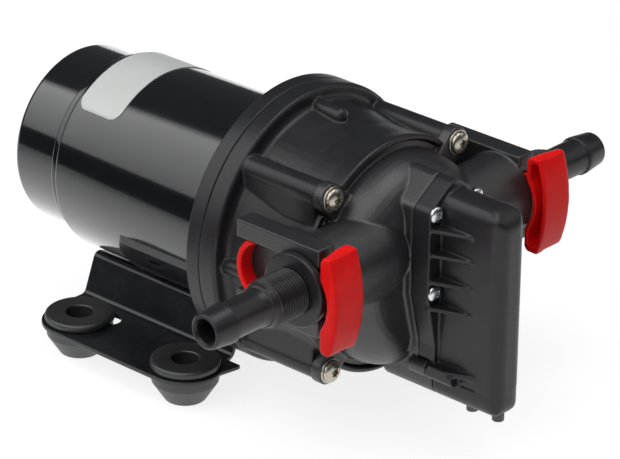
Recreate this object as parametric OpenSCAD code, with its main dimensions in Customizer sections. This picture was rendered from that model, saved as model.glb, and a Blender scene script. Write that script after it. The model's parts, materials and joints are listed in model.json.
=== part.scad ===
// Caravan water pump: a motor driven diaphragm pump on a bracket with rubber feet.
// Two hose fittings clip into the head and a pressure switch sits on its front.
// X runs from the motor to the head, Z is up, lengths are in millimetres.
// The origin is the middle of the four foot holes, on the floor.

/* [Stand] */
// Height of the motor axis above the floor
axis_h = 64; // [62:0.5:76]
// Distance between the front and rear foot holes
foot_pitch_x = 54.4; // [52:0.2:57]
// Distance between the near and far foot holes
foot_pitch_y = 81; // [79:0.5:96]
// From the middle of the foot pattern to the back of the flange
flange_x = 38.8; // [37:0.2:41]

/* [Motor] */
// Outer radius of the flux sleeve
sleeve_r = 38; // [37.5:0.1:38.6]
// Length of the flux sleeve
sleeve_len = 81; // [78:0.5:84]
// Wall of the flux sleeve
sleeve_wall = 3.65; // [3:0.05:4]
// Length of the motor can
can_len = 107; // [106:0.5:112]
// Wall of the motor can
can_wall = 1.6; // [1.2:0.1:1.8]
// Rounding of the rear edge of the can
can_round = 2.4; // [1:0.2:4]
// How far the trim ring lies below the outside of the sleeve
trim_step = 1.7; // [1:0.1:2.5]
// Length of the trim ring
trim_len = 3.6; // [2:0.2:5]
// Gap between the armature core and the magnets
air_gap = 1.55; // [0.5:0.05:3]
// Length of the armature core
core_len = 40; // [32:1:42]
// Radial thickness of a field magnet
magnet_t = 6.6; // [5:0.2:6.8]
// Radius of the motor shaft
shaft_r = 4; // [3.5:0.1:4.4]
// Radius of the commutator
commutator_r = 9; // [8:0.2:10]

/* [Label] */
// Length of the label along the motor
label_len = 20.5; // [12:0.5:30]
// Angle the label wraps round the sleeve
label_angle = 88; // [40:2:120]

/* [Flange and drum] */
// Radius of the round flange
flange_r = 52.5; // [52:0.1:55]
// Thickness of the motor end bell
bell_t = 6.6; // [6:0.1:8]
// Thickness of the drive housing flange
flange_t = 7.7; // [6:0.1:9]
// Length of the drum in front of the flange
drum_len = 36.7; // [36:0.1:39]
// Outer radius of the drum
drum_r = 44.3; // [44:0.1:45]
// Offset of each screw column from the axis, along Y and along Z
column_off = 33.2; // [32.8:0.1:34]
// Radius of a screw column
column_r = 4.8; // [4.5:0.1:5.2]
// From the outside of the flux sleeve to the middle of each stub boss
stub_gap = 7.8; // [7.4:0.1:8.4]
// Radius of a stub boss
stub_r = 3.2; // [3:0.1:3.6]

/* [Wobble drive] */
// Tilt of the cam, which sets the stroke
cam_tilt = 3; // [1:0.2:3]
// Radius from the axis to each piston
piston_off = 19; // [18.4:0.1:19.6]
// Radius of a piston
piston_r = 7.2; // [6:0.1:7.4]
// Thickness of the rubber diaphragm
diaphragm_t = 2; // [2:0.1:2.6]

/* [Head] */
// Radius of the dome where it leaves the drum
dome_r = 39.3; // [38.6:0.1:40]
// Height of the dome in front of the drum rim
dome_h = 17.5; // [16.5:0.1:18.5]
// Radius of a head screw head
head_screw_r = 4.2; // [4:0.1:4.6]

/* [Ports] */
// From the drum rim to the port axis
port_dx = 7.75; // [7.5:0.05:8.5]
// Height of the port axis above the motor axis
port_z = 10; // [9:0.2:11]
// From the middle plane to the tip of a hose tail
port_reach = 103.65; // [98:0.05:110]
// Radius of a hose tail
tail_r = 6.7; // [6.2:0.05:6.9]
// Radius of the bore through a fitting
fitting_bore_r = 4.4; // [3.8:0.1:4.6]
// Radius of a round arm of the head
arm_r = 15.5; // [14.5:0.1:16]
// From the middle plane to the outer face of a port block
block_y = 57.2; // [56.6:0.1:58]
// Length of a port block along the motor axis
block_len = 38.2; // [37:0.2:40]
// Height of a port block
block_h = 33.5; // [33:0.1:35]
// Height of a clip handle
handle_h = 37; // [36:0.2:40]

/* [Pressure switch] */
// Half width of the cover plate
plate_half = 13.4; // [13:0.1:14.2]
// Thickness of the cover plate
plate_t = 7.5; // [7:0.1:9]
// Half width of the switch box
box_half = 7.2; // [6.6:0.1:7.6]
// Length of the switch box in front of the plate
box_len = 26.9; // [26:0.1:28]
// Travel of the switch plunger
plunger_travel = 0.8; // [0.4:0.1:1]

/* [Bracket] */
// Thickness of the bracket sheet
sheet_t = 1.6; // [1.2:0.1:2]
// Lean of the bracket walls from the floor
wall_lean = 69; // [64:1:76]
// Half angle of the cradle under the motor
cradle_half = 23; // [19:0.5:26]
// Half angle of the saddle strip round the motor
saddle_half = 66; // [50:1:70]

/* [Feet] */
// Full height of a rubber foot
foot_h = 16; // [15:0.1:18]
// Radius of the top disc of a foot
foot_disc_r = 13; // [12:0.1:13.6]
// Radius of the screw hole through a foot
foot_hole_r = 2.6; // [2:0.1:3]

/* [Display] */
// Piece to show

/* [Hidden] */
$fn = 96;
seat = 0.02;
slip = 0.05;
gap = 0.3;
cut = 1;

// Stations along X, from the back of the flange.
rear_x = -can_len;
sleeve_x = -sleeve_len;
part_x = bell_t;
face_x = bell_t + flange_t;
rim_x = face_x + drum_len;
head_flange_t = 2.1;
rim_proud = 1.5;
seat_x = rim_x - rim_proud;
head_x = seat_x - head_flange_t;
valve_t = 5;
valve_x = head_x - valve_t;
ledge_x = valve_x - diaphragm_t;
port_x = rim_x + port_dx;

// Motor inside, measured from the sleeve inwards and from the rear of the can forwards.
can_r = sleeve_r - sleeve_wall - slip;
trim_r = sleeve_r - trim_step;
can_in = can_r - can_wall;
magnet_r = can_in - slip;
magnet_over = 3;
core_r = magnet_r - magnet_t - air_gap;
core_back = 35;
core_x = rear_x + core_back;
coil_l = 8;
comm_back = 13;
comm_x = rear_x + comm_back;
comm_l = 9;
card_back = 10.8;
card_x = rear_x + card_back;
card_t = 2;
brush_half_x = 3.2;
brush_half_z = 2.5;
brush_box_wall = 1.3;
brush_box_gap = 1.7;
brush_box_out = can_in - brush_box_gap;
brush_box_end = 1;
spring_room = 11;
brush_out = brush_box_out - brush_box_end - spring_room;
bush_r = 6.5;
bush_wall = 3;
bush_back = 4;
bush_x = rear_x + bush_back;
bush_l = 8;
slot_count = 12;
slot_deep = 5.5;
slot_mouth = 1.8;
slot_off = core_r - slot_deep;
coil_r = 2.6;
coil_cover = 0.7;
coil_out = slot_off + coil_r + coil_cover;
coil_in = shaft_r + 3;

// Ball bearing, used on the motor shaft and on the cam.
bearing_r = 11;
bearing_w = 7;
race_out_r = 9.2;
race_in_r = shaft_r + 2.3;
ball_r = 1.7;
ball_off = (race_out_r + race_in_r) / 2;
ball_count = 7;
bearing_x = -3.5;

// Drum.
stub_off = sleeve_r + stub_gap;
drum_in = 35.5;
pocket_r = 42.2;
stub_l = 11;
flat_half = column_off + column_r - 0.4;
flange_screw_r = 1.7;
flange_head_r = 3.4;
column_end = head_x + 0.2;
column_bore = 2.55;
ear_r = 5.5;
ear_t = 4.4;

// Wobble drive. The cam axis crosses the motor axis at nut_x.
clamp_s = 4.4;
nut_x = ledge_x + diaphragm_t / 2 - clamp_s;
cam_r = 9.5;
cam_x = 9.5;
cam_end = 20.6;
shaft_end = 19;
race_s = -14;
hub_r = 14.5;
wobble_r = 27;
wobble_t = 4;
plate_s = -4;
stem_r = 4.5;
crown_s = 0.3;
crown_t = 3;
touch = 0.1;
flex_r = piston_r + 1.4;
flex_hole = piston_r + 0.4;
piston_screw_r = 1.7;
piston_head_r = 2.6;
piston_head_t = 1.2;

// Valve plate.
disc_r = pocket_r - gap;
chamber_r = 9.6;
chamber_t = 3.5;
inlet_valve_off = piston_off + 6;
inlet_valve_r = 3;
outlet_hole_off = piston_off - 7;
outlet_valve_r = 13.2;
outlet_valve_t = 1;
stem_hole = 2;
seal_in = 36.4;
seal_out = 39.4;
seal_t = 1;

// Head inside.
outlet_room = 14.4;
inlet_room_in = 16.6;
inlet_room_out = 34.5;
inlet_room_x = rim_x + 1.2;
outlet_room_x = port_x + 5;
duct_r = 4.6;
socket_r = 6.8;
socket_end = 32;
feed_y = 28;
arm_end = 23.5;

// Head screws.
washer_t = 0.7;
washer_r = 4.8;
head_screw_t = 2.3;
head_shank_r = 2.5;
head_shank_l = 26;

// Ports.
block_back = 29.15;
block_t = 8.1;
bar_h = 6.8;
channel_half = block_h / 2 - bar_h;
channel_floor = block_y - block_t + 1.9;
neck_r = 5.7;
collar_r = 13.5;
collar_y = block_y + 0.4;
collar_t = 3;
thread_r = 8.8;
thread_root = 8;
thread_pitch = 1.25;
thread_count = 12;
thread_y = collar_y + collar_t;
ring_r = 7.8;
ring_t = 1.6;
barb_r = 7.35;
barb_l = 10.5;
barb_land = 1.2;
ring_y = thread_y + thread_pitch * thread_count;
o_ring_r = 0.8;
o_ring_y = 41;
o_ring_off = socket_r - o_ring_r - 0.05;
plug_r = socket_r - slip;

// Clips.
clip_in = channel_floor + 0.4;
clip_out = block_y + 0.2;
rail_face = channel_floor + 2.8;
rail_out = channel_half - gap;
rail_in = rail_out - 1.25;
tooth_gap = neck_r + 0.25;
tooth_half = 3.6;
bow_t = 2.2;
bow_r = rail_out + 3;
handle_in = 48.7;
handle_out = 63;
handle_front = 22.2;
handle_back = 14.3;
handle_r = 50;
grip_deep = 3.2;
grip_r = 15;
grip_u = handle_back + grip_deep - grip_r;
handle_wall = 1.7;

// Pressure switch.
gasket_t = 0.6;
boss_x = rim_x + 20.5;
plate_x0 = boss_x + gasket_t;
plate_x1 = plate_x0 + plate_t;
box_x1 = plate_x1 + box_len;
box_top = 34.6;
box_low = -44.9;
keel_r = 6;
toe_r = 5;
box_wall = 1.8;
shoulder_z = 31.3;
peak_z = 38.2;
peak_r = 4;
waist_z = -4;
tail_half = 9;
tail_z = -29.3;
seam_x = plate_x0 + 5;
lug_half = 11.5;
lug_top = -29.8;
lug_low = -35.8;
lug_x0 = rim_x + 18.3;
lug_x1 = plate_x1 + 9.6;
screw_y = plate_half - 2.7;
screw_z_high = 28.6;
screw_z_low = -1.5;
cover_screw_r = 1.6;
cover_head_r = 3;
cover_head_t = 2;
gusset_t = 1.3;
gusset_l = 16.2;
sense_r = 10;
sense_t = 0.9;
cup_r = 8.5;
cup_end = plate_x1 - 1.4;
stem_pin_r = 2.5;
button_r = 1.2;
button_x = plate_x1 + 7.2;
micro_x0 = button_x + 1.2;
micro_x1 = micro_x0 + 10;
micro_half = 3.2;
micro_low = -2;
micro_high = 18;
peg_r = 1.15;
bush_neck_r = 1.75;
bush_drop = 3;
bush_spots = [[plate_x1 + 10.2, 0.4], [plate_x1 + 21.6, 0.8]];

// Bracket and feet, measured from the floor.
disc_t = 3;
wing_top = foot_h - disc_t;
wing_mid = wing_top - sheet_t / 2;
wing_r = 14.2;
foot_x = foot_pitch_x / 2;
foot_y = foot_pitch_y / 2;
saddle_t = 1.2;
saddle_x0 = -51;
saddle_x1 = -6;
saddle_corner = 2.6;
saddle_r = sleeve_r + slip;
cradle_m = saddle_r + saddle_t + slip + sheet_t / 2;
fold_r = 2;
bend_r = 3;
fold = (cradle_m + fold_r) * [-sin(cradle_half), -cos(cradle_half)] + [0, axis_h];
wall_top = fold + fold_r * [cos(wall_lean + 90), sin(wall_lean + 90)];
wall_len = (wall_top[1] - wing_mid - bend_r * (1 - cos(wall_lean))) / sin(wall_lean);
wall_low = wall_top - wall_len * [cos(wall_lean), sin(wall_lean)];
wing_y = wall_low[0] - bend_r * sin(wall_lean);
bracket_x0 = -foot_x - wing_r;
wing_in = wing_y - 1.2;
wall_x1 = flange_x - 4;
tip_x = flange_x + 3;
side_hole_r = 4.2;
groove_r = 8;
foot_ring_r = 12.4;
foot_base_r = 7.6;
foot_cone_h = 7.5;
foot_well_r = 5;
foot_well_z = 4;

// Points on an arc about c, from angle a0 to a1.
function arc(c, r, a0, a1, n = 6) =
    [for (i = [0:n]) c + r * [cos(a0 + (a1 - a0) * i / n), sin(a0 + (a1 - a0) * i / n)]];

// Moves the pump frame, with its origin on the motor axis, to the row frame.
module on_axis() {
    translate([flange_x, 0, axis_h]) children();
}

// Solid rod along X.
module rod_x(x0, x1, r) {
    translate([x0, 0, 0]) rotate([0, 90, 0]) cylinder(r = r, h = x1 - x0);
}

// Ring along X.
module ring_x(x0, x1, ro, ri) {
    difference() {
        rod_x(x0, x1, ro);
        rod_x(x0 - cut, x1 + cut, ri);
    }
}

// Body turned about X from points of radius and station.
module turned_x(points) {
    rotate([0, 90, 0]) rotate_extrude() polygon(points);
}

// Flat shape drawn in Y and Z, given thickness along X.
module plate_x(x0, x1) {
    translate([x0, 0, 0]) rotate([90, 0, 90]) linear_extrude(x1 - x0) children();
}

// Rod along Y.
module rod_y(y0, y1, r) {
    translate([0, y0, 0]) rotate([-90, 0, 0]) cylinder(r = r, h = y1 - y0);
}

// Copies at the four corners of a square.
module at_corners(off) {
    for (sy = [-1, 1])
        for (sz = [-1, 1])
            translate([0, sy * off, sz * off]) children();
}

// Copies round the axis, starting at the top.
module around_x(count, off) {
    for (i = [0:count - 1])
        rotate([i * 360 / count, 0, 0]) translate([0, 0, off]) children();
}

// Rectangle with round corners, from its low corner to its high corner.
module round_box(low, high, r) {
    translate(low + [r, 0]) square(high - low - [2 * r, 0]);
    translate(low + [0, r]) square(high - low - [0, 2 * r]);
    for (u = [low[0] + r, high[0] - r])
        for (v = [low[1] + r, high[1] - r])
            translate([u, v]) circle(r);
}

// Part of a flat ring between two angles less than 180 degrees apart.
module sector(r, t, a0, a1) {
    reach = 4 * (r + t);
    mid = (a0 + a1) / 2;
    intersection() {
        difference() {
            circle(r + t / 2);
            circle(r - t / 2);
        }
        polygon([[0, 0], reach * [cos(a0), sin(a0)], reach * [cos(mid), sin(mid)],
            reach * [cos(a1), sin(a1)]]);
    }
}

// Frame of the tilted cam axis.
module on_cam() {
    translate([nut_x, 0, 0]) rotate([0, -cam_tilt, 0]) children();
}

// Inner race with its ball groove.
module race_inner() {
    difference() {
        ring_x(0, bearing_w, race_in_r, shaft_r + seat);
        translate([bearing_w / 2, 0, 0]) rotate([0, 90, 0]) rotate_extrude()
            translate([ball_off, 0]) circle(ball_r + slip);
    }
}

// Outer race with its ball groove.
module race_outer() {
    difference() {
        ring_x(0, bearing_w, bearing_r, race_out_r);
        translate([bearing_w / 2, 0, 0]) rotate([0, 90, 0]) rotate_extrude()
            translate([ball_off, 0]) circle(ball_r + slip);
    }
}

// Ring of bearing balls.
module race_balls() {
    around_x(ball_count, ball_off) translate([bearing_w / 2, 0, 0]) sphere(r = ball_r, $fn = 32);
}

module motor_can() {
    color("#111214") on_axis() turned_x(concat([[0, rear_x]],
        arc([can_r - can_round, rear_x + can_round], can_round, -90, 0),
        [[can_r, 0], [can_in, 0], [can_in, rear_x + can_wall], [bush_r + bush_wall, rear_x + can_wall],
            [bush_r + bush_wall, bush_x + bush_l], [bush_r + seat, bush_x + bush_l],
            [bush_r + seat, rear_x + can_wall], [0, rear_x + can_wall]]));
}

module flux_sleeve() {
    edge = 0.7;
    color("#0c0d0f") on_axis() turned_x([[can_r + slip, sleeve_x], [sleeve_r - edge, sleeve_x],
        [sleeve_r, sleeve_x + edge], [sleeve_r, -edge], [sleeve_r - edge, 0], [can_r + slip, 0]]);
}

module trim_ring() {
    edge = 0.5;
    color("#141517") on_axis() turned_x([[can_r + slip, sleeve_x - trim_len],
        [trim_r - edge, sleeve_x - trim_len], [trim_r, sleeve_x - trim_len + edge],
        [trim_r, sleeve_x], [can_r + slip, sleeve_x]]);
}

module motor_label() {
    thick = 0.2;
    corner = 4;
    low = sleeve_x + 2;
    half = (sleeve_r + thick) * sin(label_angle / 2);
    color("#d9dad8") on_axis() rotate([2, 0, 0]) intersection() {
        ring_x(low - cut, low + label_len + cut, sleeve_r + slip + thick, sleeve_r + slip);
        linear_extrude(sleeve_r + 5) round_box([low, -half], [low + label_len, half], corner);
    }
}

module field_magnets() {
    span = 66;
    color("#3b3b3d") on_axis() plate_x(core_x - magnet_over, core_x + core_len + magnet_over) {
        sector(magnet_r - magnet_t / 2, magnet_t, 90 - span, 90 + span);
        sector(magnet_r - magnet_t / 2, magnet_t, 270 - span, 270 + span);
    }
}

module rear_bush() {
    color("#a98a4a") on_axis() ring_x(bush_x, bush_x + bush_l, bush_r, shaft_r + 0.03);
}

module brush_card() {
    color("#6b5a3c") on_axis() difference() {
        union() {
            ring_x(card_x, card_x + card_t, can_in - slip, commutator_r + 3);
            for (side = [-1, 1])
                translate([card_x + card_t - seat, side > 0 ? commutator_r + 2 : -brush_box_out,
                        -brush_half_z - brush_box_wall])
                    cube([2 * (brush_half_x + brush_box_wall) + seat,
                        brush_box_out - commutator_r - 2, 2 * (brush_half_z + brush_box_wall)]);
        }
        for (side = [-1, 1])
            translate([card_x + card_t + brush_box_wall,
                    side > 0 ? commutator_r : brush_box_end - brush_box_out, -brush_half_z - slip])
                cube([2 * (brush_half_x + slip), brush_box_out - commutator_r - brush_box_end,
                    2 * (brush_half_z + slip)]);
    }
}

module carbon_brushes() {
    color("#2c2c2e") on_axis() for (side = [-1, 1])
        difference() {
            translate([card_x + card_t + brush_box_wall + slip,
                    side > 0 ? commutator_r - 1 : -brush_out, -brush_half_z])
                cube([2 * brush_half_x, brush_out - commutator_r + 1, 2 * brush_half_z]);
            rod_x(comm_x - 5, comm_x + comm_l + 5, commutator_r + 0.2);
        }
}

module brush_springs() {
    color("#b9b9b4") on_axis() for (side = [-1, 1])
        translate([card_x + card_t + brush_box_wall + slip + brush_half_x,
                side * (brush_out + spring_room / 2), 0])
            difference() {
                rod_y(-spring_room / 2 + slip, spring_room / 2 - slip, 2);
                rod_y(-spring_room / 2 - cut, spring_room / 2 + cut, 1.3);
            }
}

module end_bell() {
    edge = 0.8;
    spigot_r = can_in - slip;
    color("#17181a") on_axis() difference() {
        turned_x([[6, part_x], [6, 3.5 + seat], [bearing_r + seat, 3.5 + seat],
            [bearing_r + seat, bearing_x], [16, bearing_x], [16, 0], [spigot_r - 5, 0],
            [spigot_r - 4, -5], [spigot_r, -5], [spigot_r, 0], [flange_r - edge, 0],
            [flange_r, edge], [flange_r, part_x - 0.35], [flange_r - 0.35, part_x]]);
        around_x(4, stub_off) rod_x(-cut, part_x + cut, flange_screw_r + slip);
    }
}

module flange_screws() {
    color("#8d8c88") on_axis() around_x(4, stub_off) {
        rod_x(-2.4, 0, flange_head_r);
        rod_x(-0.5, face_x + stub_l - 6, flange_screw_r);
    }
}

module rotor_shaft() {
    color("#b6b7ba") on_axis() rod_x(bush_x + 0.5, shaft_end, shaft_r);
}

module armature_core() {
    color("#77797d") on_axis() difference() {
        ring_x(core_x, core_x + core_len, core_r, shaft_r + seat);
        around_x(slot_count, slot_off) rod_x(core_x - cut, core_x + core_len + cut, coil_r + slip);
        around_x(slot_count, slot_off) translate([core_x - cut, -slot_mouth / 2, 0])
            cube([core_len + 2 * cut, slot_mouth, core_r]);
    }
}

module armature_windings() {
    color("#a5592c") on_axis() {
        ring_x(core_x - coil_l, core_x, coil_out, coil_in);
        ring_x(core_x + core_len, core_x + core_len + coil_l, coil_out, coil_in);
        around_x(slot_count, slot_off) rod_x(core_x - 1, core_x + core_len + 1, coil_r);
    }
}

module commutator() {
    color("#b87333") on_axis() difference() {
        ring_x(comm_x, comm_x + comm_l, commutator_r, shaft_r + seat);
        around_x(slot_count, commutator_r - 0.9) translate([comm_x - cut, -0.3, 0])
            cube([comm_l + 2 * cut, 0.6, 2]);
    }
}

module front_bearing_outer() {
    color("#a9aaad") on_axis() translate([bearing_x, 0, 0]) race_outer();
}

module front_bearing_inner() {
    color("#b3b4b7") on_axis() translate([bearing_x, 0, 0]) race_inner();
}

module front_bearing_balls() {
    color("#d2d3d6") on_axis() translate([bearing_x, 0, 0]) race_balls();
}

module drive_housing() {
    edge = 0.9;
    fillet = 2.6;
    waist = drum_r - 0.6;
    base = drum_r + 2;
    color("#1a1b1d") on_axis() difference() {
        union() {
            turned_x(concat([[0, part_x], [flange_r - 0.35, part_x], [flange_r, part_x + 0.35],
                [flange_r, face_x - edge], [flange_r - edge, face_x]],
                arc([base + fillet, face_x + fillet], fillet, 270, 180),
                [[waist + 1, face_x + 12], [waist, face_x + 20], [waist, rim_x - 7],
                [waist + 0.2, rim_x - 5], [drum_r - 0.1, rim_x - 2.6], [drum_r, rim_x - 1.8],
                [drum_r, rim_x - 0.8], [drum_r - 0.6, rim_x], [0, rim_x]]));
            translate([face_x - cut, -flat_half, -column_off])
                cube([column_end - face_x + cut, 2 * flat_half, 2 * column_off]);
            at_corners(column_off) rod_x(face_x - cut, column_end, column_r);
            around_x(4, stub_off) {
                rod_x(face_x - cut, face_x + stub_l, stub_r);
                translate([face_x + stub_l, 0, 0]) sphere(r = stub_r);
            }
        }
        rod_x(part_x - cut, ledge_x + cut, drum_in);
        rod_x(ledge_x, rim_x + cut, pocket_r);
        at_corners(column_off) rod_x(column_end - head_shank_l, column_end + cut, column_bore);
        around_x(4, stub_off) rod_x(part_x - cut, face_x + stub_l - 5, flange_screw_r + slip);
        for (i = [0:3])
            rotate([45 + 90 * i, 0, 0]) translate([column_end, -ear_r - gap, drum_in])
                cube([10, 2 * (ear_r + gap), 24]);
        translate([seat_x + seat, -80, port_z - arm_r - 0.6])
            cube([10, 160, 2 * arm_r + 1.2]);
    }
}

module wobble_cam() {
    color("#8f9094") on_axis() difference() {
        union() {
            rod_x(cam_x, cam_end, cam_r);
            on_cam() {
                rod_x(cam_end - nut_x - 1, race_s - slip, race_in_r - 0.7);
                rod_x(cam_end - nut_x - 1, race_s + bearing_w, shaft_r);
            }
        }
        rod_x(cam_x - cut, shaft_end + seat, shaft_r + seat);
    }
}

module wobble_bearing_inner() {
    color("#b3b4b7") on_axis() on_cam() translate([race_s, 0, 0]) race_inner();
}

module wobble_bearing_outer() {
    color("#a9aaad") on_axis() on_cam() translate([race_s, 0, 0]) race_outer();
}

module wobble_bearing_balls() {
    color("#d2d3d6") on_axis() on_cam() translate([race_s, 0, 0]) race_balls();
}

module wobble_plate() {
    color("#4a4d50") on_axis() on_cam() difference() {
        union() {
            rod_x(race_s, plate_s, hub_r);
            rod_x(plate_s - wobble_t, plate_s, wobble_r);
        }
        rod_x(race_s - cut, race_s + bearing_w + seat, bearing_r + seat);
        rod_x(race_s, plate_s + cut, race_out_r);
        at_corners(piston_off / sqrt(2)) rod_x(plate_s - wobble_t - cut, plate_s + cut, stem_r / 3);
    }
}

// One piston with its stem on the wobble plate.
module piston(sy, sz) {
    color("#5b5e62") on_axis() on_cam()
        translate([0, sy * piston_off / sqrt(2), sz * piston_off / sqrt(2)]) difference() {
            union() {
                rod_x(plate_s, crown_s + cut, stem_r);
                rod_x(crown_s, crown_s + crown_t, piston_r);
            }
            rod_x(plate_s + cut, crown_s + crown_t + cut, piston_screw_r + slip);
        }
}

module piston_1() {
    piston(-1, 1);
}

module piston_2() {
    piston(1, 1);
}

module piston_3() {
    piston(1, -1);
}

module piston_4() {
    piston(-1, -1);
}

module piston_screws() {
    under = crown_s + crown_t + diaphragm_t + 2 * touch;
    color("#9a9a98") on_axis() on_cam() at_corners(piston_off / sqrt(2)) {
        rod_x(under, under + piston_head_t, piston_head_r);
        rod_x(plate_s + 1.5, under + 0.5, piston_screw_r);
    }
}

module diaphragm() {
    back = crown_s + crown_t + touch;
    color("#26282b") on_axis() difference() {
        union() {
            difference() {
                rod_x(ledge_x, valve_x, disc_r);
                on_cam() at_corners(piston_off / sqrt(2)) rod_x(-5, 15, flex_hole);
            }
            on_cam() at_corners(piston_off / sqrt(2)) rod_x(back, back + diaphragm_t, flex_r);
        }
        on_cam() at_corners(piston_off / sqrt(2)) rod_x(-5, 15, piston_screw_r + 0.3);
    }
}

module valve_plate() {
    color("#3f4347") on_axis() difference() {
        rod_x(valve_x, head_x, disc_r);
        at_corners(piston_off / sqrt(2)) rod_x(valve_x - cut, valve_x + chamber_t, chamber_r);
        at_corners(outlet_hole_off / sqrt(2)) rod_x(valve_x, head_x + cut, 1.2);
        at_corners(inlet_valve_off / sqrt(2)) {
            rod_x(valve_x, head_x + cut, 0.9 + slip);
            for (a = [0:120:240])
                rotate([a, 0, 0]) translate([0, 0, 2]) rod_x(valve_x, head_x + cut, 0.7);
        }
        rod_x(valve_x + 1, head_x + cut, stem_hole + slip);
    }
}

module inlet_valves() {
    face = valve_x + chamber_t;
    color("#5a2d24") on_axis() at_corners(inlet_valve_off / sqrt(2)) {
        rod_x(face - 0.7, face, inlet_valve_r);
        rod_x(face - 0.2, head_x + 0.6, 0.9);
    }
}

module outlet_valve() {
    color("#5a2d24") on_axis() {
        rod_x(head_x, head_x + outlet_valve_t, outlet_valve_r);
        rod_x(valve_x + 1.2, head_x + 0.2, stem_hole);
    }
}

module head_seal() {
    color("#1e1f20") on_axis() ring_x(head_x, head_x + seal_t, seal_out, seal_in);
}

// Outline of the switch boss and of the cover plate, in Y and Z.
module switch_outline() {
    corner = 3;
    low = shoulder_z - corner;
    polygon(concat([[-tail_half, tail_z], [tail_half, tail_z], [tail_half, tail_z + 6],
        [plate_half, waist_z]], arc([plate_half - corner, low], corner, 0, 51),
        arc([0, peak_z - peak_r], peak_r, 51, 129), arc([corner - plate_half, low], corner, 129, 180),
        [[-plate_half, waist_z], [-tail_half, tail_z + 6]]));
}

// Rounded lower lug of the switch, in Y and Z.
module lug_outline() {
    round_box([-lug_half, lug_low], [lug_half, lug_top], 2.6);
}

// Keel below the lug, in Y and Z.
module keel_outline() {
    round_box([-box_half, box_low], [box_half, lug_top], keel_r);
}

// Neck that joins the lug to the plate above it, in Y and Z.
module neck_outline() {
    translate([-box_half, lug_top - 2]) square([2 * box_half, tail_z - lug_top + 3]);
}

// Port block, arm and bar frame on the near side.
module port_arm() {
    intersection() {
        union() {
            translate([port_x, 0, port_z]) rod_y(-block_y + block_t - 1, -arm_end, arm_r);
            translate([port_x, -arm_end, port_z]) sphere(r = arm_r);
        }
        union() {
            translate([seat_x + gap, -block_y, -100]) cube([100, block_y, 200]);
            translate([-100, -block_y, -100]) cube([300, block_y - drum_r - 1.2, 200]);
        }
    }
    translate([port_x - block_back, -block_y, port_z - block_h / 2])
        cube([block_len, block_t, block_h]);
}

// Hollows of the near port: clip channel and socket.
module port_hollow() {
    translate([port_x - block_back - cut, -block_y - cut, port_z - channel_half])
        cube([block_len + 2 * cut, block_y - channel_floor + cut, 2 * channel_half]);
    translate([port_x, 0, port_z]) rod_y(-block_y - cut, -socket_end, socket_r);
}

module port_housing() {
    nose = 15;
    color("#1c1d1f") on_axis() difference() {
        union() {
            turned_x(concat([[0, head_x], [disc_r, head_x], [disc_r, seat_x], [dome_r, seat_x],
                [dome_r, rim_x + dome_h - nose]],
                arc([dome_r - nose, rim_x + dome_h - nose], nose, 0, 90, 10),
                [[0, rim_x + dome_h]]));
            for (i = [0:3])
                rotate([45 + 90 * i, 0, 0]) {
                    translate([column_end, -ear_r, drum_in])
                        cube([ear_t, 2 * ear_r, column_off * sqrt(2) - drum_in]);
                    translate([0, 0, column_off * sqrt(2)]) rod_x(column_end, column_end + ear_t, ear_r);
                }
            port_arm();
            mirror([0, 1, 0]) port_arm();
            plate_x(rim_x + 3, boss_x) switch_outline();
            plate_x(lug_x0, seam_x) lug_outline();
            plate_x(rim_x + 3, seam_x) keel_outline();
            plate_x(rim_x + 3, boss_x) neck_outline();
        }
        port_hollow();
        mirror([0, 1, 0]) port_hollow();
        at_corners(column_off) rod_x(column_end - cut, column_end + ear_t + cut, head_shank_r + 0.2);
        rod_x(head_x - cut, outlet_room_x, outlet_room);
        ring_x(head_x - cut, inlet_room_x, inlet_room_out, inlet_room_in);
        ring_x(head_x - cut, head_x + seal_t + slip, seal_out + slip, seal_in - slip);
        translate([port_x, 0, port_z]) rod_y(-socket_end - cut, -feed_y, duct_r);
        translate([0, -feed_y, port_z]) rod_x(inlet_room_x - 2, port_x + duct_r, duct_r);
        translate([port_x, 0, port_z]) rod_y(5, socket_end + cut, duct_r);
        translate([0, 0, port_z]) rod_x(outlet_room_x - cut, boss_x + cut, 1.6);
        translate([0, 0, port_z]) rod_x(boss_x - sense_t - seat, boss_x + cut, sense_r + 0.1);
        for (side = [-1, 1])
            for (z = [screw_z_low, screw_z_high])
                translate([0, side * screw_y, z]) rod_x(boss_x - 9, boss_x + cut, cover_screw_r + slip);
    }
}

module head_screws() {
    base = column_end + ear_t + washer_t;
    crown = 1.3;
    color("#b9b2a4") on_axis() at_corners(column_off) difference() {
        union() {
            turned_x(concat([[0, base], [head_screw_r, base], [head_screw_r, base + 0.6]],
                [for (i = [1:5]) [head_screw_r * cos(i * 15), base + 0.6
                    + (head_screw_t - 0.6) * sin(i * 15)]], [[0, base + head_screw_t]]));
            rod_x(column_end - head_shank_l + 4, base + 0.2, head_shank_r);
        }
        for (a = [0:60:120])
            rotate([a, 0, 0]) translate([base + head_screw_t - crown, -0.6, -1.7])
                cube([crown + cut, 1.2, 3.4]);
    }
}

module head_washers() {
    base = column_end + ear_t;
    color("#a7a39a") on_axis() at_corners(column_off)
        ring_x(base, base + washer_t, washer_r, head_shank_r + 0.2);
}

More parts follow.
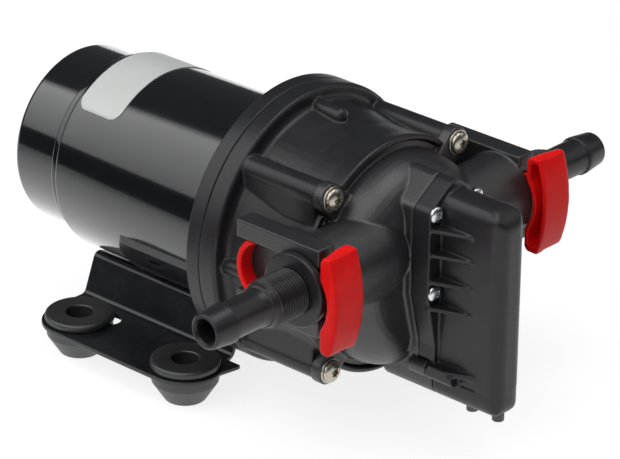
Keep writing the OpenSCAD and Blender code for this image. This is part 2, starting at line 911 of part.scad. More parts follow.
// Hose fitting on the near side, turned about the port axis.
module fitting() {
    flare = 0.6;
    ridges = [for (i = [0:thread_count - 1])
        for (p = [[thread_root, 0.15], [thread_r, 0.5], [thread_r, 0.7]])
            [p[0], thread_y + (i + p[1]) * thread_pitch]];
    translate([port_x, 0, port_z]) rotate([90, 0, 0]) rotate_extrude()
        polygon(concat([[fitting_bore_r, socket_end + 1], [plug_r - 0.8, socket_end + 1],
            [plug_r, socket_end + 2], [plug_r, o_ring_y - o_ring_r - 0.2],
            [o_ring_off - o_ring_r - seat, o_ring_y - o_ring_r - 0.2],
            [o_ring_off - o_ring_r - seat, o_ring_y + o_ring_r + 0.2],
            [plug_r, o_ring_y + o_ring_r + 0.2], [plug_r, channel_floor + 0.2],
            [neck_r, channel_floor + 0.2], [neck_r, collar_y], [collar_r, collar_y],
            [collar_r, collar_y + collar_t - 0.5], [collar_r - 0.5, collar_y + collar_t],
            [thread_root, collar_y + collar_t]], ridges,
            [[ring_r, ring_y], [ring_r, ring_y + ring_t], [tail_r + 0.3, ring_y + ring_t + 0.4],
            [tail_r, ring_y + ring_t + 3], [tail_r, port_reach - barb_l],
            [barb_r, port_reach - barb_l + 0.3], [barb_r, port_reach - barb_l + 0.3 + barb_land],
            [tail_r - 0.3, port_reach - 0.6],
            [tail_r - 0.8, port_reach], [fitting_bore_r + flare, port_reach],
            [fitting_bore_r, port_reach - 1.2]]));
}

module inlet_fitting() {
    color("#191a1c") on_axis() fitting();
}

module outlet_fitting() {
    color("#191a1c") on_axis() mirror([0, 1, 0]) fitting();
}

// O-ring of the near fitting.
module o_ring() {
    translate([port_x, 0, port_z]) rotate([90, 0, 0]) translate([0, 0, o_ring_y]) rotate_extrude()
        translate([o_ring_off, 0]) circle(o_ring_r, $fn = 32);
}

module inlet_o_ring() {
    color("#101112") on_axis() o_ring();
}

module outlet_o_ring() {
    color("#101112") on_axis() mirror([0, 1, 0]) o_ring();
}

// Flat shape drawn in X and Z about the port axis, given width along Y.
module slab_y(y0, y1) {
    translate([port_x, y1, port_z]) rotate([90, 0, 0]) linear_extrude(y1 - y0) children();
}

// Side view of a clip handle.
module handle_side(inset) {
    tip = 2.4;
    difference() {
        intersection() {
            translate([handle_front - handle_r, 0]) circle(handle_r - inset);
            round_box([handle_back + inset, inset - handle_h / 2],
                [handle_front + 5, handle_h / 2 - inset], tip);
        }
        translate([grip_u, 0]) circle(grip_r + inset);
    }
}

// Clip on the near side.
module clip() {
    bow_u = bow_r - block_back;
    bow_end = sqrt(pow(bow_r - bow_t, 2) - pow(rail_out, 2)) - seat;
    rail_u = bow_u - sqrt(pow(bow_r - bow_t / 2, 2) - pow(rail_in, 2)) + bow_t / 2;
    difference() {
        slab_y(-handle_out, -handle_in) handle_side(0);
        slab_y(-handle_out + 5, -handle_in + cut) handle_side(handle_wall);
    }
    difference() {
        slab_y(-clip_out, -clip_in) intersection() {
            translate([bow_u, 0]) circle(bow_r);
            translate([bow_u - bow_r - cut, -rail_out]) square([bow_r + cut - bow_end, 2 * rail_out]);
        }
        slab_y(-clip_out - cut, -clip_in + cut) translate([bow_u, 0]) circle(bow_r - bow_t);
    }
    slab_y(-rail_face, -clip_in) for (side = [-1, 1]) {
        translate([rail_u, side > 0 ? rail_in : -rail_out])
            square([handle_back + 1.5 - rail_u, rail_out - rail_in]);
        translate([-tooth_half, side > 0 ? tooth_gap : -rail_in - 0.1])
            square([2 * tooth_half, rail_in - tooth_gap + 0.1]);
    }
}

module inlet_clip() {
    color("#b82e2d") on_axis() clip();
}

module outlet_clip() {
    color("#b82e2d") on_axis() mirror([0, 1, 0]) clip();
}

module switch_diaphragm() {
    color("#26282b") on_axis() translate([0, 0, port_z]) rod_x(boss_x - sense_t, boss_x, sense_r);
}

module cover_gasket() {
    color("#2a2b2d") on_axis() difference() {
        plate_x(boss_x, plate_x0) switch_outline();
        translate([0, 0, port_z]) rod_x(boss_x - cut, plate_x0 + cut, sense_r - 0.6);
        for (side = [-1, 1])
            for (z = [screw_z_low, screw_z_high])
                translate([0, side * screw_y, z])
                    rod_x(boss_x - cut, plate_x0 + cut, cover_screw_r + 0.15);
    }
}

// Switch box seen from above, grown by a given amount.
module box_plan(grow) {
    round_box([plate_x1 - 10, -box_half - grow], [box_x1 + grow, box_half + grow], 5 + grow);
}

// Switch box seen from the side, grown by a given amount.
module box_side(grow) {
    intersection() {
        round_box([plate_x1 - 10, box_low - grow], [box_x1 + grow, box_top + 20], toe_r + grow);
        round_box([plate_x1 - 20, box_low - 20], [box_x1 + grow, box_top + grow], 9 + grow);
    }
}

// Switch box seen from the front, grown by a given amount.
module box_front(grow) {
    round_box([-box_half - grow, 0], [box_half + grow, box_top + grow], 5.2 + grow);
    round_box([-box_half - grow, box_low - grow], [box_half + grow, 10], keel_r + grow);
}

// Solid of the switch box or of its hollow.
module switch_box(grow) {
    intersection() {
        plate_x(plate_x1 - 10, box_x1 + 10) box_front(grow);
        translate([0, 0, box_low - 5]) linear_extrude(box_top - box_low + 10) box_plan(grow);
        translate([0, 20, 0]) rotate([90, 0, 0]) linear_extrude(40) box_side(grow);
        translate([plate_x1 - cut - grow * cut / box_wall, -50, -100]) cube([100, 100, 200]);
    }
}

module switch_cover() {
    line_z = -35.7;
    line_t = 0.8;
    line_deep = 0.6;
    color("#1b1c1e") on_axis() difference() {
        union() {
            difference() {
                union() {
                    plate_x(plate_x0, plate_x1) switch_outline();
                    plate_x(seam_x + gap, lug_x1) lug_outline();
                    plate_x(seam_x + gap, plate_x1) keel_outline();
                    plate_x(seam_x + gap, plate_x1) neck_outline();
                    switch_box(0);
                    translate([0, 0, lug_top - 2]) linear_extrude(2) polygon([[plate_x1 - cut, -lug_half],
                        [plate_x1 + 7, -lug_half], [plate_x1 + 19, -box_half + 0.5],
                        [plate_x1 + 19, box_half - 0.5], [plate_x1 + 7, lug_half],
                        [plate_x1 - cut, lug_half]]);
                    for (z = [22.8, 13.3, 3, -7.2])
                        translate([0, 0, z - gusset_t / 2]) linear_extrude(gusset_t)
                            polygon([[plate_x1 - cut, -plate_half + 0.4], [plate_x1, -plate_half + 0.4],
                                [plate_x1 + gusset_l, -box_half + 0.5],
                                [plate_x1 + gusset_l, box_half - 0.5],
                                [plate_x1, plate_half - 0.4], [plate_x1 - cut, plate_half - 0.4]]);
                }
                switch_box(-box_wall);
            }
            for (z = [micro_low + 3, micro_high - 3])
                translate([micro_x1 - 4, 0, z]) {
                    rod_y(-box_half + 1, -micro_half, 2.4);
                    rod_y(-micro_half - cut, micro_half, peg_r);
                }
        }
        translate([0, 0, port_z]) rod_x(plate_x0 - cut, cup_end, cup_r);
        translate([0, 0, port_z]) rod_x(plate_x0, plate_x1 + 3, stem_pin_r + slip);
        for (side = [-1, 1])
            for (z = [screw_z_low, screw_z_high])
                translate([0, side * screw_y, z]) {
                    rod_x(plate_x0 - cut, plate_x1 + cut, cover_screw_r + 0.15);
                    rod_x(plate_x1, plate_x1 + 20, cover_head_r + 0.25);
                }
        for (spot = bush_spots)
            translate([spot[0], spot[1], box_low - cut])
                cylinder(r = bush_neck_r + slip, h = box_wall + 4 * cut);
        translate([lug_x1 + 0.5, -box_half - cut, line_z])
            cube([box_x1 - lug_x1 + cut, cut + line_deep, line_t]);
        translate([lug_x1 + 0.5, box_half - line_deep, line_z])
            cube([box_x1 - lug_x1 + cut, cut + line_deep, line_t]);
        translate([box_x1 - 1.6, box_half - 2, 18.5]) cube([3, 3, 3.4]);
    }
}

module cover_screws() {
    dome = 0.8;
    color("#d4d5d6") on_axis() for (side = [-1, 1])
        for (z = [screw_z_low, screw_z_high])
            translate([0, side * screw_y, z]) difference() {
                union() {
                    turned_x([[0, plate_x1], [cover_head_r, plate_x1],
                        [cover_head_r, plate_x1 + cover_head_t - dome],
                        [cover_head_r - dome, plate_x1 + cover_head_t], [0, plate_x1 + cover_head_t]]);
                    rod_x(boss_x - 8, plate_x1 + 0.2, cover_screw_r);
                }
                translate([plate_x1 + 1, -1.6, -0.35]) cube([2, 3.2, 0.7]);
                translate([plate_x1 + 1, -0.35, -1.6]) cube([2, 0.7, 3.2]);
            }
}

module switch_plunger() {
    color("#d8d2c0") on_axis() translate([0, 0, port_z]) {
        rod_x(boss_x + 0.2, boss_x + 2.2, sense_r - 2);
        rod_x(boss_x + 2, button_x - touch, stem_pin_r);
    }
}

module plunger_spring() {
    color("#b9b9b4") on_axis() translate([0, 0, port_z])
        ring_x(boss_x + 2.3, cup_end - touch, 5.8, 4.6);
}

module microswitch_body() {
    color("#202a36") on_axis() difference() {
        translate([micro_x0, -micro_half + seat, micro_low])
            cube([micro_x1 - micro_x0, 2 * micro_half - 2 * seat, micro_high - micro_low]);
        translate([0, 0, port_z]) rod_x(micro_x0 - cut, micro_x0 + 3.2, button_r + slip);
        for (z = [micro_low + 3, micro_high - 3])
            translate([micro_x1 - 4, 0, z]) rod_y(-10, 10, peg_r + slip);
    }
}

module microswitch_button() {
    color("#c8483a") on_axis() translate([0, 0, port_z])
        rod_x(button_x, micro_x0 + 3.2 - plunger_travel - 0.2, button_r);
}

module microswitch_terminals() {
    color("#c9b873") on_axis() for (z = [0.5, 8, 15.5])
        translate([micro_x1, -0.3, z - 1.4]) cube([3.2, 0.6, 2.8]);
}

module lead_bushes() {
    color("#151617") on_axis() for (spot = bush_spots)
        translate([spot[0], spot[1], box_low]) difference() {
            union() {
                translate([0, 0, -bush_drop]) cylinder(r = 2.2, h = bush_drop - slip);
                translate([0, 0, -1]) cylinder(r = bush_neck_r, h = box_wall + 2.4);
            }
            translate([0, 0, -6]) cylinder(r = 0.9, h = 20);
        }
}

// One side of the bent sheet on the near half, at a given distance from its middle.
function half_line(off) = concat([[wing_y - 3, wing_mid + off]],
    arc([wing_y, wing_mid + bend_r], bend_r - off, -90, wall_lean - 90),
    arc(fold, fold_r + off, wall_lean + 90, 90 - cradle_half));

// Points in the opposite order.
function reversed(points) = [for (i = [len(points) - 1:-1:0]) points[i]];

// The same line on the far half, running on from the near one.
function flipped(points) = [for (p = reversed(points)) [-p[0], p[1]]];

// One whole side of the bent sheet, with the cradle in the middle.
function sheet_line(off) = concat(half_line(off), [for (i = [1:15]) [0, axis_h] + (cradle_m - off)
    * [sin(cradle_half * (i / 8 - 1)), -cos(cradle_half * (i / 8 - 1))]], flipped(half_line(off)));

// Wing of the bracket on the near side, seen from above.
module wing_plan() {
    difference() {
        union() {
            for (u = [-foot_x, foot_x])
                translate([u, -foot_y]) circle(wing_r);
            translate([-foot_x, -foot_y - wing_r]) square([foot_pitch_x, wing_in + foot_y + wing_r]);
            translate([bracket_x0, -foot_y]) square([wing_r, wing_in + foot_y]);
            polygon([[foot_x, -foot_y], [foot_x, wing_in], [wall_x1, wing_in],
                [tip_x, wing_in], [tip_x, wing_in - 1.6],
                [foot_x + wing_r * cos(20), -foot_y + wing_r * sin(20)]]);
        }
        for (u = [-foot_x, foot_x])
            translate([u, -foot_y]) circle(groove_r + slip);
        translate([8.7 - foot_x, 7.2 - foot_y]) circle(side_hole_r);
    }
}

module base_bracket() {
    color("#0e0f10") {
        plate_x(bracket_x0, wall_x1)
            polygon(concat(sheet_line(sheet_t / 2), reversed(sheet_line(-sheet_t / 2))));
        for (side = [0, 1])
            mirror([0, side, 0]) translate([0, 0, wing_top - sheet_t]) linear_extrude(sheet_t) wing_plan();
    }
}

module motor_saddle() {
    slot_x = -36;
    slot_a = 30;
    reach = (saddle_r + saddle_t) * sin(saddle_half);
    color("#101113") on_axis() difference() {
        intersection() {
            ring_x(saddle_x0 - cut, saddle_x1 + cut, saddle_r + saddle_t, saddle_r);
            translate([0, 0, -2 * saddle_r]) linear_extrude(2 * saddle_r)
                round_box([saddle_x0, -reach], [saddle_x1, reach], saddle_corner);
        }
        for (side = [-1, 1])
            rotate([side * (90 + slot_a), 0, 0]) translate([slot_x, 0, saddle_r - 3])
                linear_extrude(saddle_t + 6) round_box([0, -0.7], [6.5, 0.7], 0.69);
    }
}

// Rubber foot with a groove for the bracket wing.
module foot(sx, sy) {
    edge = 0.8;
    color("#1d1e1f") translate([sx * foot_x, sy * foot_y, 0]) rotate_extrude()
        polygon([[foot_hole_r, 0], [foot_base_r, 0], [foot_ring_r, foot_cone_h],
            [foot_ring_r, wing_top - sheet_t], [groove_r, wing_top - sheet_t], [groove_r, wing_top],
            [foot_disc_r, wing_top], [foot_disc_r, foot_h - edge], [foot_disc_r - edge, foot_h],
            [foot_well_r, foot_h], [foot_well_r, foot_well_z], [foot_hole_r, foot_well_z]]);
}

module foot_front_near() {
    foot(1, -1);
}

module foot_front_far() {
    foot(1, 1);
}

module foot_rear_near() {
    foot(-1, -1);
}

module foot_rear_far() {
    foot(-1, 1);
}

motor_can();
flux_sleeve();
trim_ring();
motor_label();
field_magnets();
rear_bush();
brush_card();
carbon_brushes();
brush_springs();
end_bell();
flange_screws();
rotor_shaft();
armature_core();
armature_windings();
commutator();
front_bearing_outer();
front_bearing_inner();
front_bearing_balls();
drive_housing();
wobble_cam();
wobble_bearing_inner();
wobble_bearing_outer();
wobble_bearing_balls();
wobble_plate();
piston_1();
piston_2();
piston_3();
piston_4();
piston_screws();
diaphragm();
valve_plate();
inlet_valves();
outlet_valve();
head_seal();
port_housing();
head_screws();
head_washers();
inlet_fitting();
outlet_fitting();
inlet_o_ring();
outlet_o_ring();
inlet_clip();
outlet_clip();
switch_diaphragm();
cover_gasket();
switch_cover();
cover_screws();
switch_plunger();
plunger_spring();
microswitch_body();
microswitch_button();
microswitch_terminals();
lead_bushes();
base_bracket();
motor_saddle();
foot_front_near();
foot_front_far();
foot_rear_near();
foot_rear_far();
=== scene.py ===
"""Looks of a caravan water pump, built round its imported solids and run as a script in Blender."""

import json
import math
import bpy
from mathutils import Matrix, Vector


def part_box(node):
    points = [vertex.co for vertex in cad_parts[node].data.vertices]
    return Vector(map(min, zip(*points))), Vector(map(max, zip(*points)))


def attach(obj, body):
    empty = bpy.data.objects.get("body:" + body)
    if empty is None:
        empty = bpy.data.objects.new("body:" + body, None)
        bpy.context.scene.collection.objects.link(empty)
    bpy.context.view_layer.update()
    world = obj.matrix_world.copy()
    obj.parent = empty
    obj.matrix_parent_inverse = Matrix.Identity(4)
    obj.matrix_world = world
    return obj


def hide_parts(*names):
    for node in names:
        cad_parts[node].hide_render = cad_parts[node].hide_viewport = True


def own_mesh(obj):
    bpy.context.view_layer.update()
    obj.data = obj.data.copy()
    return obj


bl_info = {
    "name": "Caravan water pump",
    "version": (1, 0, 0),
    "blender": (4, 5, 0),
    "location": "View3D > Sidebar > Pump",
    "description": "Builds the visible pieces, the finishes and the studio of a caravan water pump",
    "category": "Add Mesh",
}

from collections import namedtuple

import bmesh
import bpy
from bpy.props import FloatProperty, FloatVectorProperty, IntProperty, PointerProperty
from bpy.types import Operator, Panel, PropertyGroup
from mathutils import Matrix, Vector

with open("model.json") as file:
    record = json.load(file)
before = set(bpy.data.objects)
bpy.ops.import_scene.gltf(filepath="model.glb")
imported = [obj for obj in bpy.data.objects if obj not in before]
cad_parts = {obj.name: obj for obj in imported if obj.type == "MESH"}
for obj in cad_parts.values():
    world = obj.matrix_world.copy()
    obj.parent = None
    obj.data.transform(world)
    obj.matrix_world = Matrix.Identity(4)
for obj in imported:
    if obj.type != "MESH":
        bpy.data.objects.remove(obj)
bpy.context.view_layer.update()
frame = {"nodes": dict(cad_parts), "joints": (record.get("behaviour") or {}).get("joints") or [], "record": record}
NODES = frame["nodes"]
JOINTS = {joint["name"]: joint for joint in frame["joints"]}
SLOT_OF = {part["node"]: part["material_slot"] for part in frame["record"]["subparts"]}
SLOT_COLOUR = {row["slot"]: tuple(row["base_color"]) for row in frame["record"]["materials"]}

MM = 0.001
X_AXIS = Vector((1, 0, 0))
Z_AXIS = Vector((0, 0, 1))

# Points closer than this are joined, in metres.
JOIN_REACH = 1e-6

# Centre of the back of the flange, on the motor axis.
AXIS = Vector(JOINTS["rotor_spin"]["pos_m"])
# Point on the port axis, in the middle plane.
PORT = Vector((JOINTS["inlet_swivel"]["pos_m"][0], 0, JOINTS["inlet_swivel"]["pos_m"][2]))


def colour_default(slot):
    """Colour of a record slot with full cover."""
    return (*SLOT_COLOUR[slot], 1.0)


class PumpSizes(PropertyGroup):
    """Sizes of the visible detail."""

    moulding_voxel: FloatProperty(
        name="Moulding voxel", description="Cell size that eases the corners of the mouldings",
        default=0.00045, min=0.0003, max=0.002, subtype="DISTANCE", unit="LENGTH")
    clip_voxel: FloatProperty(
        name="Clip voxel", description="Cell size that eases the corners of the clips",
        default=0.00035, min=0.0002, max=0.001, subtype="DISTANCE", unit="LENGTH")
    sheet_ease: FloatProperty(
        name="Sheet ease", description="Rounding of the cut edges of the bracket sheet",
        default=0.00035, min=0.0001, max=0.0007, subtype="DISTANCE", unit="LENGTH")
    thread_pitch: FloatProperty(
        name="Thread pitch", description="Pitch of the thread on each hose fitting",
        default=0.00125, min=0.0008, max=0.002, subtype="DISTANCE", unit="LENGTH")
    thread_depth: FloatProperty(
        name="Thread depth", description="Depth of the thread on each hose fitting",
        default=0.0008, min=0.0003, max=0.0015, subtype="DISTANCE", unit="LENGTH")
    screw_lobes: IntProperty(
        name="Screw lobes", description="Lobes of the driver recess in a screw head",
        default=6, min=3, max=8)
    turn_steps: IntProperty(
        name="Turn steps", description="Steps round a turned piece", default=128, min=32, max=256)


class PumpColours(PropertyGroup):
    """Colours of the finishes."""

    paint: FloatVectorProperty(
        name="Paint", description="Gloss paint of the motor and the bracket", subtype="COLOR", size=4,
        min=0, max=1, default=(0.008, 0.0085, 0.0105, 1.0))
    moulding: FloatVectorProperty(
        name="Moulding", description="Plastic of the housing, the head and the fittings",
        subtype="COLOR", size=4, min=0, max=1, default=colour_default("black_moulding"))
    clip: FloatVectorProperty(
        name="Clip", description="Plastic of the locking clips", subtype="COLOR", size=4,
        min=0, max=1, default=(0.88, 0.010, 0.010, 1.0))
    rubber: FloatVectorProperty(
        name="Rubber", description="Rubber of the feet and the bushes", subtype="COLOR", size=4,
        min=0, max=1, default=colour_default("black_rubber"))
    label: FloatVectorProperty(
        name="Label", description="Film of the bare motor label", subtype="COLOR", size=4,
        min=0, max=1, default=(0.62, 0.63, 0.62, 1.0))
    floor: FloatVectorProperty(
        name="Floor", description="Pale floor of the studio", subtype="COLOR", size=4,
        min=0, max=1, default=(0.8, 0.8, 0.8, 1.0))


def at_pump(x, y=0.0, z=0.0):
    """Point in metres of the shared frame, from a place in mm from the centre of the flange's back."""
    return AXIS + Vector((x, y, z)) * MM


def pump_box(node):
    """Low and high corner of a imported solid, in mm from the centre of the flange's back."""
    low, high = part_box(node)
    return (low - AXIS) / MM, (high - AXIS) / MM


def place_object(name, data):
    """New object in the scene."""
    item = bpy.data.objects.new(name, data)
    bpy.context.scene.collection.objects.link(item)
    return item


# Share of a side that the rounding of one of its corners may take.
EASE_SHARE = 0.49


def eased(corners, steps=5):
    """Closed outline in mm whose corners (radius, station, easing) are rounded."""
    outline = []
    for index, (radius, station, ease) in enumerate(corners):
        here = Vector((radius, station))
        if ease <= 0:
            outline.append(here)
            continue
        before = Vector(corners[index - 1][:2]) - here
        after = Vector(corners[(index + 1) % len(corners)][:2]) - here
        half = before.angle(after) / 2
        reach = min(ease / math.tan(half), EASE_SHARE * before.length, EASE_SHARE * after.length)
        bend = reach * math.tan(half)
        before.normalize()
        after.normalize()
        centre = here + (before + after).normalized() * bend / math.sin(half)
        start = here + before * reach - centre
        end = here + after * reach - centre
        sweep = start.angle(end)
        for step in range(steps + 1):
            share = step / steps
            spoke = start * math.sin((1 - share) * sweep) + end * math.sin(share * sweep)
            outline.append(centre + spoke / math.sin(sweep))
    return [(point.x, point.y) for point in outline]


def as_mesh(bm, name, crease=35.0):
    """Mesh with clean normals, smooth but for edges sharper than the crease in degrees."""
    bmesh.ops.remove_doubles(bm, verts=bm.verts, dist=JOIN_REACH)
    bmesh.ops.recalc_face_normals(bm, faces=bm.faces)
    mesh = bpy.data.meshes.new(name)
    bm.to_mesh(mesh)
    bm.free()
    mesh.shade_smooth()
    mesh.set_sharp_from_angle(angle=math.radians(crease))
    return mesh


def turn(bm, rings, centre, axis, steps):
    """Adds a closed turned body. Each ring is a function of the angle that gives radius and station."""
    side = axis.orthogonal().normalized()
    up = axis.cross(side)
    grid = []
    for ring in rings:
        row = []
        for step in range(steps):
            angle = 2 * math.pi * step / steps
            radius, station = ring(angle)
            spoke = side * math.cos(angle) + up * math.sin(angle)
            row.append(bm.verts.new(centre + (axis * station + spoke * radius) * MM))
        grid.append(row)
    for index, row in enumerate(grid):
        last = grid[index - 1]
        for step in range(steps):
            after = (step + 1) % steps
            bm.faces.new((last[step], last[after], row[after], row[step]))


def plain_rings(outline):
    """Rings of a body that is the same at every angle."""
    return [lambda angle, point=point: point for point in outline]


def turned_mesh(name, outline, centre, axis, steps):
    """Mesh of one plain turned body."""
    bm = bmesh.new()
    turn(bm, plain_rings(outline), centre, axis, steps)
    return as_mesh(bm, name)


def node_bmesh(node):
    """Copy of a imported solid, with its split corners joined."""
    bm = bmesh.new()
    bm.from_mesh(NODES[node].data)
    bmesh.ops.remove_doubles(bm, verts=bm.verts, dist=JOIN_REACH)
    return bm


# Share of the way to its neighbours' middle that a point moves in one round of smoothing.
SMOOTH_SHARE = 0.5


def soften(mesh, inside, rounds):
    """Eases the stretch of a mesh whose points pass a test."""
    bm = bmesh.new()
    bm.from_mesh(mesh)
    chosen = [vert for vert in bm.verts if inside(vert.co)]
    for _ in range(rounds):
        bmesh.ops.smooth_vert(bm, verts=chosen, factor=SMOOTH_SHARE,
                              use_axis_x=True, use_axis_y=True, use_axis_z=True)
    bm.to_mesh(mesh)
    bm.free()


def moulded_mesh(name, bm, voxel, rounds, keep, soft=None):
    """Mesh of a moulding, its solids joined and every corner eased, then thinned to the share to keep.

    Soft is a test of a point, and the extra rounds of smoothing where it holds.
    """
    raw = bpy.data.meshes.new(name + "_raw")
    bm.to_mesh(raw)
    bm.free()
    work = place_object(name + "_work", raw)
    skin = work.modifiers.new("skin", "REMESH")
    skin.mode = "VOXEL"
    skin.voxel_size = voxel
    ease = work.modifiers.new("ease", "SMOOTH")
    ease.factor = SMOOTH_SHARE
    ease.iterations = rounds
    graph = bpy.context.evaluated_depsgraph_get()
    dense = bpy.data.meshes.new_from_object(work.evaluated_get(graph))
    if soft:
        soften(dense, *soft)
    work.modifiers.clear()
    work.data = dense
    thin = work.modifiers.new("thin", "DECIMATE")
    thin.ratio = keep
    graph = bpy.context.evaluated_depsgraph_get()
    mesh = bpy.data.meshes.new_from_object(work.evaluated_get(graph))
    mesh.name = name
    bpy.data.objects.remove(work)
    bpy.data.meshes.remove(raw)
    bpy.data.meshes.remove(dense)
    mesh.shade_smooth()
    return mesh


def flatten_shading(mesh, reach=50.0):
    """Lets broad faces set the normals at their corners, so that they shade flat.

    Faces that turn further apart than the reach in degrees don't share a normal.
    """
    limit = math.cos(math.radians(reach))
    around = [[] for _ in mesh.vertices]
    for face in mesh.polygons:
        for corner in face.vertices:
            around[corner].append(face)
    normals = []
    for face in mesh.polygons:
        for corner in face.vertices:
            near = [other for other in around[corner] if face.normal.dot(other.normal) > limit]
            normals.append(sum((other.normal * other.area for other in near), Vector()).normalized())
    mesh.normals_split_custom_set(normals)


# Faces that meet at less than this angle in degrees are one flat face.
FLAT_ANGLE = 0.4


def edged_mesh(name, node, ease, angle=40.0):
    """Copy of a solid whose edges sharper than an angle in degrees are rounded."""
    bm = node_bmesh(node)
    bmesh.ops.dissolve_limit(bm, angle_limit=math.radians(FLAT_ANGLE), verts=bm.verts, edges=bm.edges)
    limit = math.radians(angle)
    inner = [edge for edge in bm.edges if len(edge.link_faces) == 2]
    sharp = [edge for edge in inner if edge.calc_face_angle(0.0) > limit]
    bmesh.ops.bevel(bm, geom=sharp, offset=ease, segments=2, profile=0.5, affect="EDGES",
                    clamp_overlap=True)
    mesh = as_mesh(bm, name, crease=30.0)
    flatten_shading(mesh)
    return mesh


def add_piece(name, mesh, body, material, *nodes):
    """Places a mesh as a piece on a body, standing for the nodes that it replaces."""
    piece = place_object(name, mesh)
    mesh.materials.clear()
    mesh.materials.append(material)
    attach(piece, body)
    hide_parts(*nodes)
    return piece


def new_group(name, inputs, outputs):
    """Empty shader group with float inputs and float outputs."""
    group = bpy.data.node_groups.new(name, "ShaderNodeTree")
    for label, value in inputs:
        socket = group.interface.new_socket(label, in_out="INPUT", socket_type="NodeSocketFloat")
        socket.default_value = value
    for label in outputs:
        group.interface.new_socket(label, in_out="OUTPUT", socket_type="NodeSocketFloat")
    source = group.nodes.new("NodeGroupInput")
    target = group.nodes.new("NodeGroupOutput")
    return group, source, target


def math_node(tree, operation, first, second):
    """Math node fed by sockets or numbers; returns its value socket."""
    node = tree.nodes.new("ShaderNodeMath")
    node.operation = operation
    for socket, value in zip(node.inputs, (first, second)):
        if isinstance(value, (int, float)):
            socket.default_value = value
        else:
            tree.links.new(value, socket)
    return node.outputs["Value"]


def span_node(tree, value, low, high, to_low, to_high):
    """Clamped map of a value from one span to another; returns its result socket."""
    node = tree.nodes.new("ShaderNodeMapRange")
    for label, given in (("Value", value), ("From Min", low), ("From Max", high),
                         ("To Min", to_low), ("To Max", to_high)):
        if isinstance(given, (int, float)):
            node.inputs[label].default_value = given
        else:
            tree.links.new(given, node.inputs[label])
    return node.outputs["Result"]


def noise_node(tree, scale, detail=3.0, roughness=0.5):
    """Noise in object space; returns its value socket."""
    place = tree.nodes.new("ShaderNodeTexCoord")
    node = tree.nodes.new("ShaderNodeTexNoise")
    node.inputs["Detail"].default_value = detail
    node.inputs["Roughness"].default_value = roughness
    tree.links.new(place.outputs["Object"], node.inputs["Vector"])
    if isinstance(scale, (int, float)):
        node.inputs["Scale"].default_value = scale
    else:
        tree.links.new(scale, node.inputs["Scale"])
    return node.outputs[0]


# Scale of the swell in a grain, as a share of the fine scale.
SWELL_SCALE = 0.18
# Spans of noise that are stretched from none to full: patches of gloss or tone, dust specks, broken edges.
PATCH_SPAN = (0.3, 0.7)
SPECK_SPAN = (0.45, 0.75)
BREAK_SPAN = (0.35, 0.7)
# Scales of the dust specks and of the breaks along a rubbed edge, per metre.
SPECK_SCALE = 900.0
BREAK_SCALE = 350.0
# Rise of a face's normal over which dust starts to lie and lies fully.
DUST_RISE = (0.2, 1.0)
# Pointiness over which an edge starts to be rubbed and is fully rubbed, and the least rub in a break.
EDGE_POINT = (0.52, 0.6)
LEAST_RUB = 0.2


def make_grain_group():
    """Moulded or sprayed grain: a fine height with a coarser swell in it."""
    group, source, target = new_group("Surface grain", [("Scale", 2000.0), ("Swell", 0.3)], ["Height"])
    fine = noise_node(group, source.outputs["Scale"], detail=2.0)
    swell_scale = math_node(group, "MULTIPLY", source.outputs["Scale"], SWELL_SCALE)
    coarse = noise_node(group, swell_scale, detail=1.0)
    swell = math_node(group, "MULTIPLY", coarse, source.outputs["Swell"])
    group.links.new(math_node(group, "ADD", fine, swell), target.inputs["Height"])
    return group


def make_handling_group():
    """Patchy gloss left by handling, and the dust that settles on faces that look up."""
    group, source, target = new_group(
        "Handling", [("Scale", 60.0), ("Low", 0.3), ("High", 0.4), ("Dust", 0.1)], ["Roughness", "Dust"])
    patch = noise_node(group, source.outputs["Scale"], detail=5.0, roughness=0.6)
    rough = span_node(group, patch, *PATCH_SPAN, source.outputs["Low"], source.outputs["High"])
    group.links.new(rough, target.inputs["Roughness"])
    shape = group.nodes.new("ShaderNodeNewGeometry")
    split = group.nodes.new("ShaderNodeSeparateXYZ")
    group.links.new(shape.outputs["Normal"], split.inputs["Vector"])
    upward = span_node(group, split.outputs["Z"], *DUST_RISE, 0.0, 1.0)
    speck = noise_node(group, SPECK_SCALE, detail=4.0, roughness=0.7)
    settled = math_node(group, "MULTIPLY", upward, span_node(group, speck, *SPECK_SPAN, 0.0, 1.0))
    dust = math_node(group, "MULTIPLY", settled, source.outputs["Dust"])
    group.links.new(dust, target.inputs["Dust"])
    return group


def make_edge_group():
    """Mask of the rubbed outer edges of a piece."""
    group, source, target = new_group("Rubbed edges", [("Amount", 0.3)], ["Mask"])
    shape = group.nodes.new("ShaderNodeNewGeometry")
    edge = span_node(group, shape.outputs["Pointiness"], *EDGE_POINT, 0.0, 1.0)
    broken = noise_node(group, BREAK_SCALE, detail=4.0, roughness=0.6)
    rubbed = math_node(group, "MULTIPLY", edge, span_node(group, broken, *BREAK_SPAN, LEAST_RUB, 1.0))
    mask = math_node(group, "MULTIPLY", rubbed, source.outputs["Amount"])
    group.links.new(mask, target.inputs["Mask"])
    return group


# Makers of the shared shader groups, and the groups that are made so far.
GROUP_MAKERS = {"grain": make_grain_group, "handling": make_handling_group, "edges": make_edge_group}
GROUPS = {}


def place_group(tree, name, **values):
    """Places a shared group in a material with its own values."""
    if name not in GROUPS:
        GROUPS[name] = GROUP_MAKERS[name]()
    node = tree.nodes.new("ShaderNodeGroup")
    node.node_tree = GROUPS[name]
    for label, value in values.items():
        node.inputs[label.capitalize()].default_value = value
    return node


def mix_colour(tree, factor, first, second):
    """Mix of two colours by a factor socket; returns its colour socket."""
    node = tree.nodes.new("ShaderNodeMix")
    node.data_type = "RGBA"
    tree.links.new(factor, node.inputs["Factor"])
    for socket, value in ((node.inputs[6], first), (node.inputs[7], second)):
        if hasattr(value, "links"):
            tree.links.new(value, socket)
        else:
            socket.default_value = value
    return node.outputs[2]


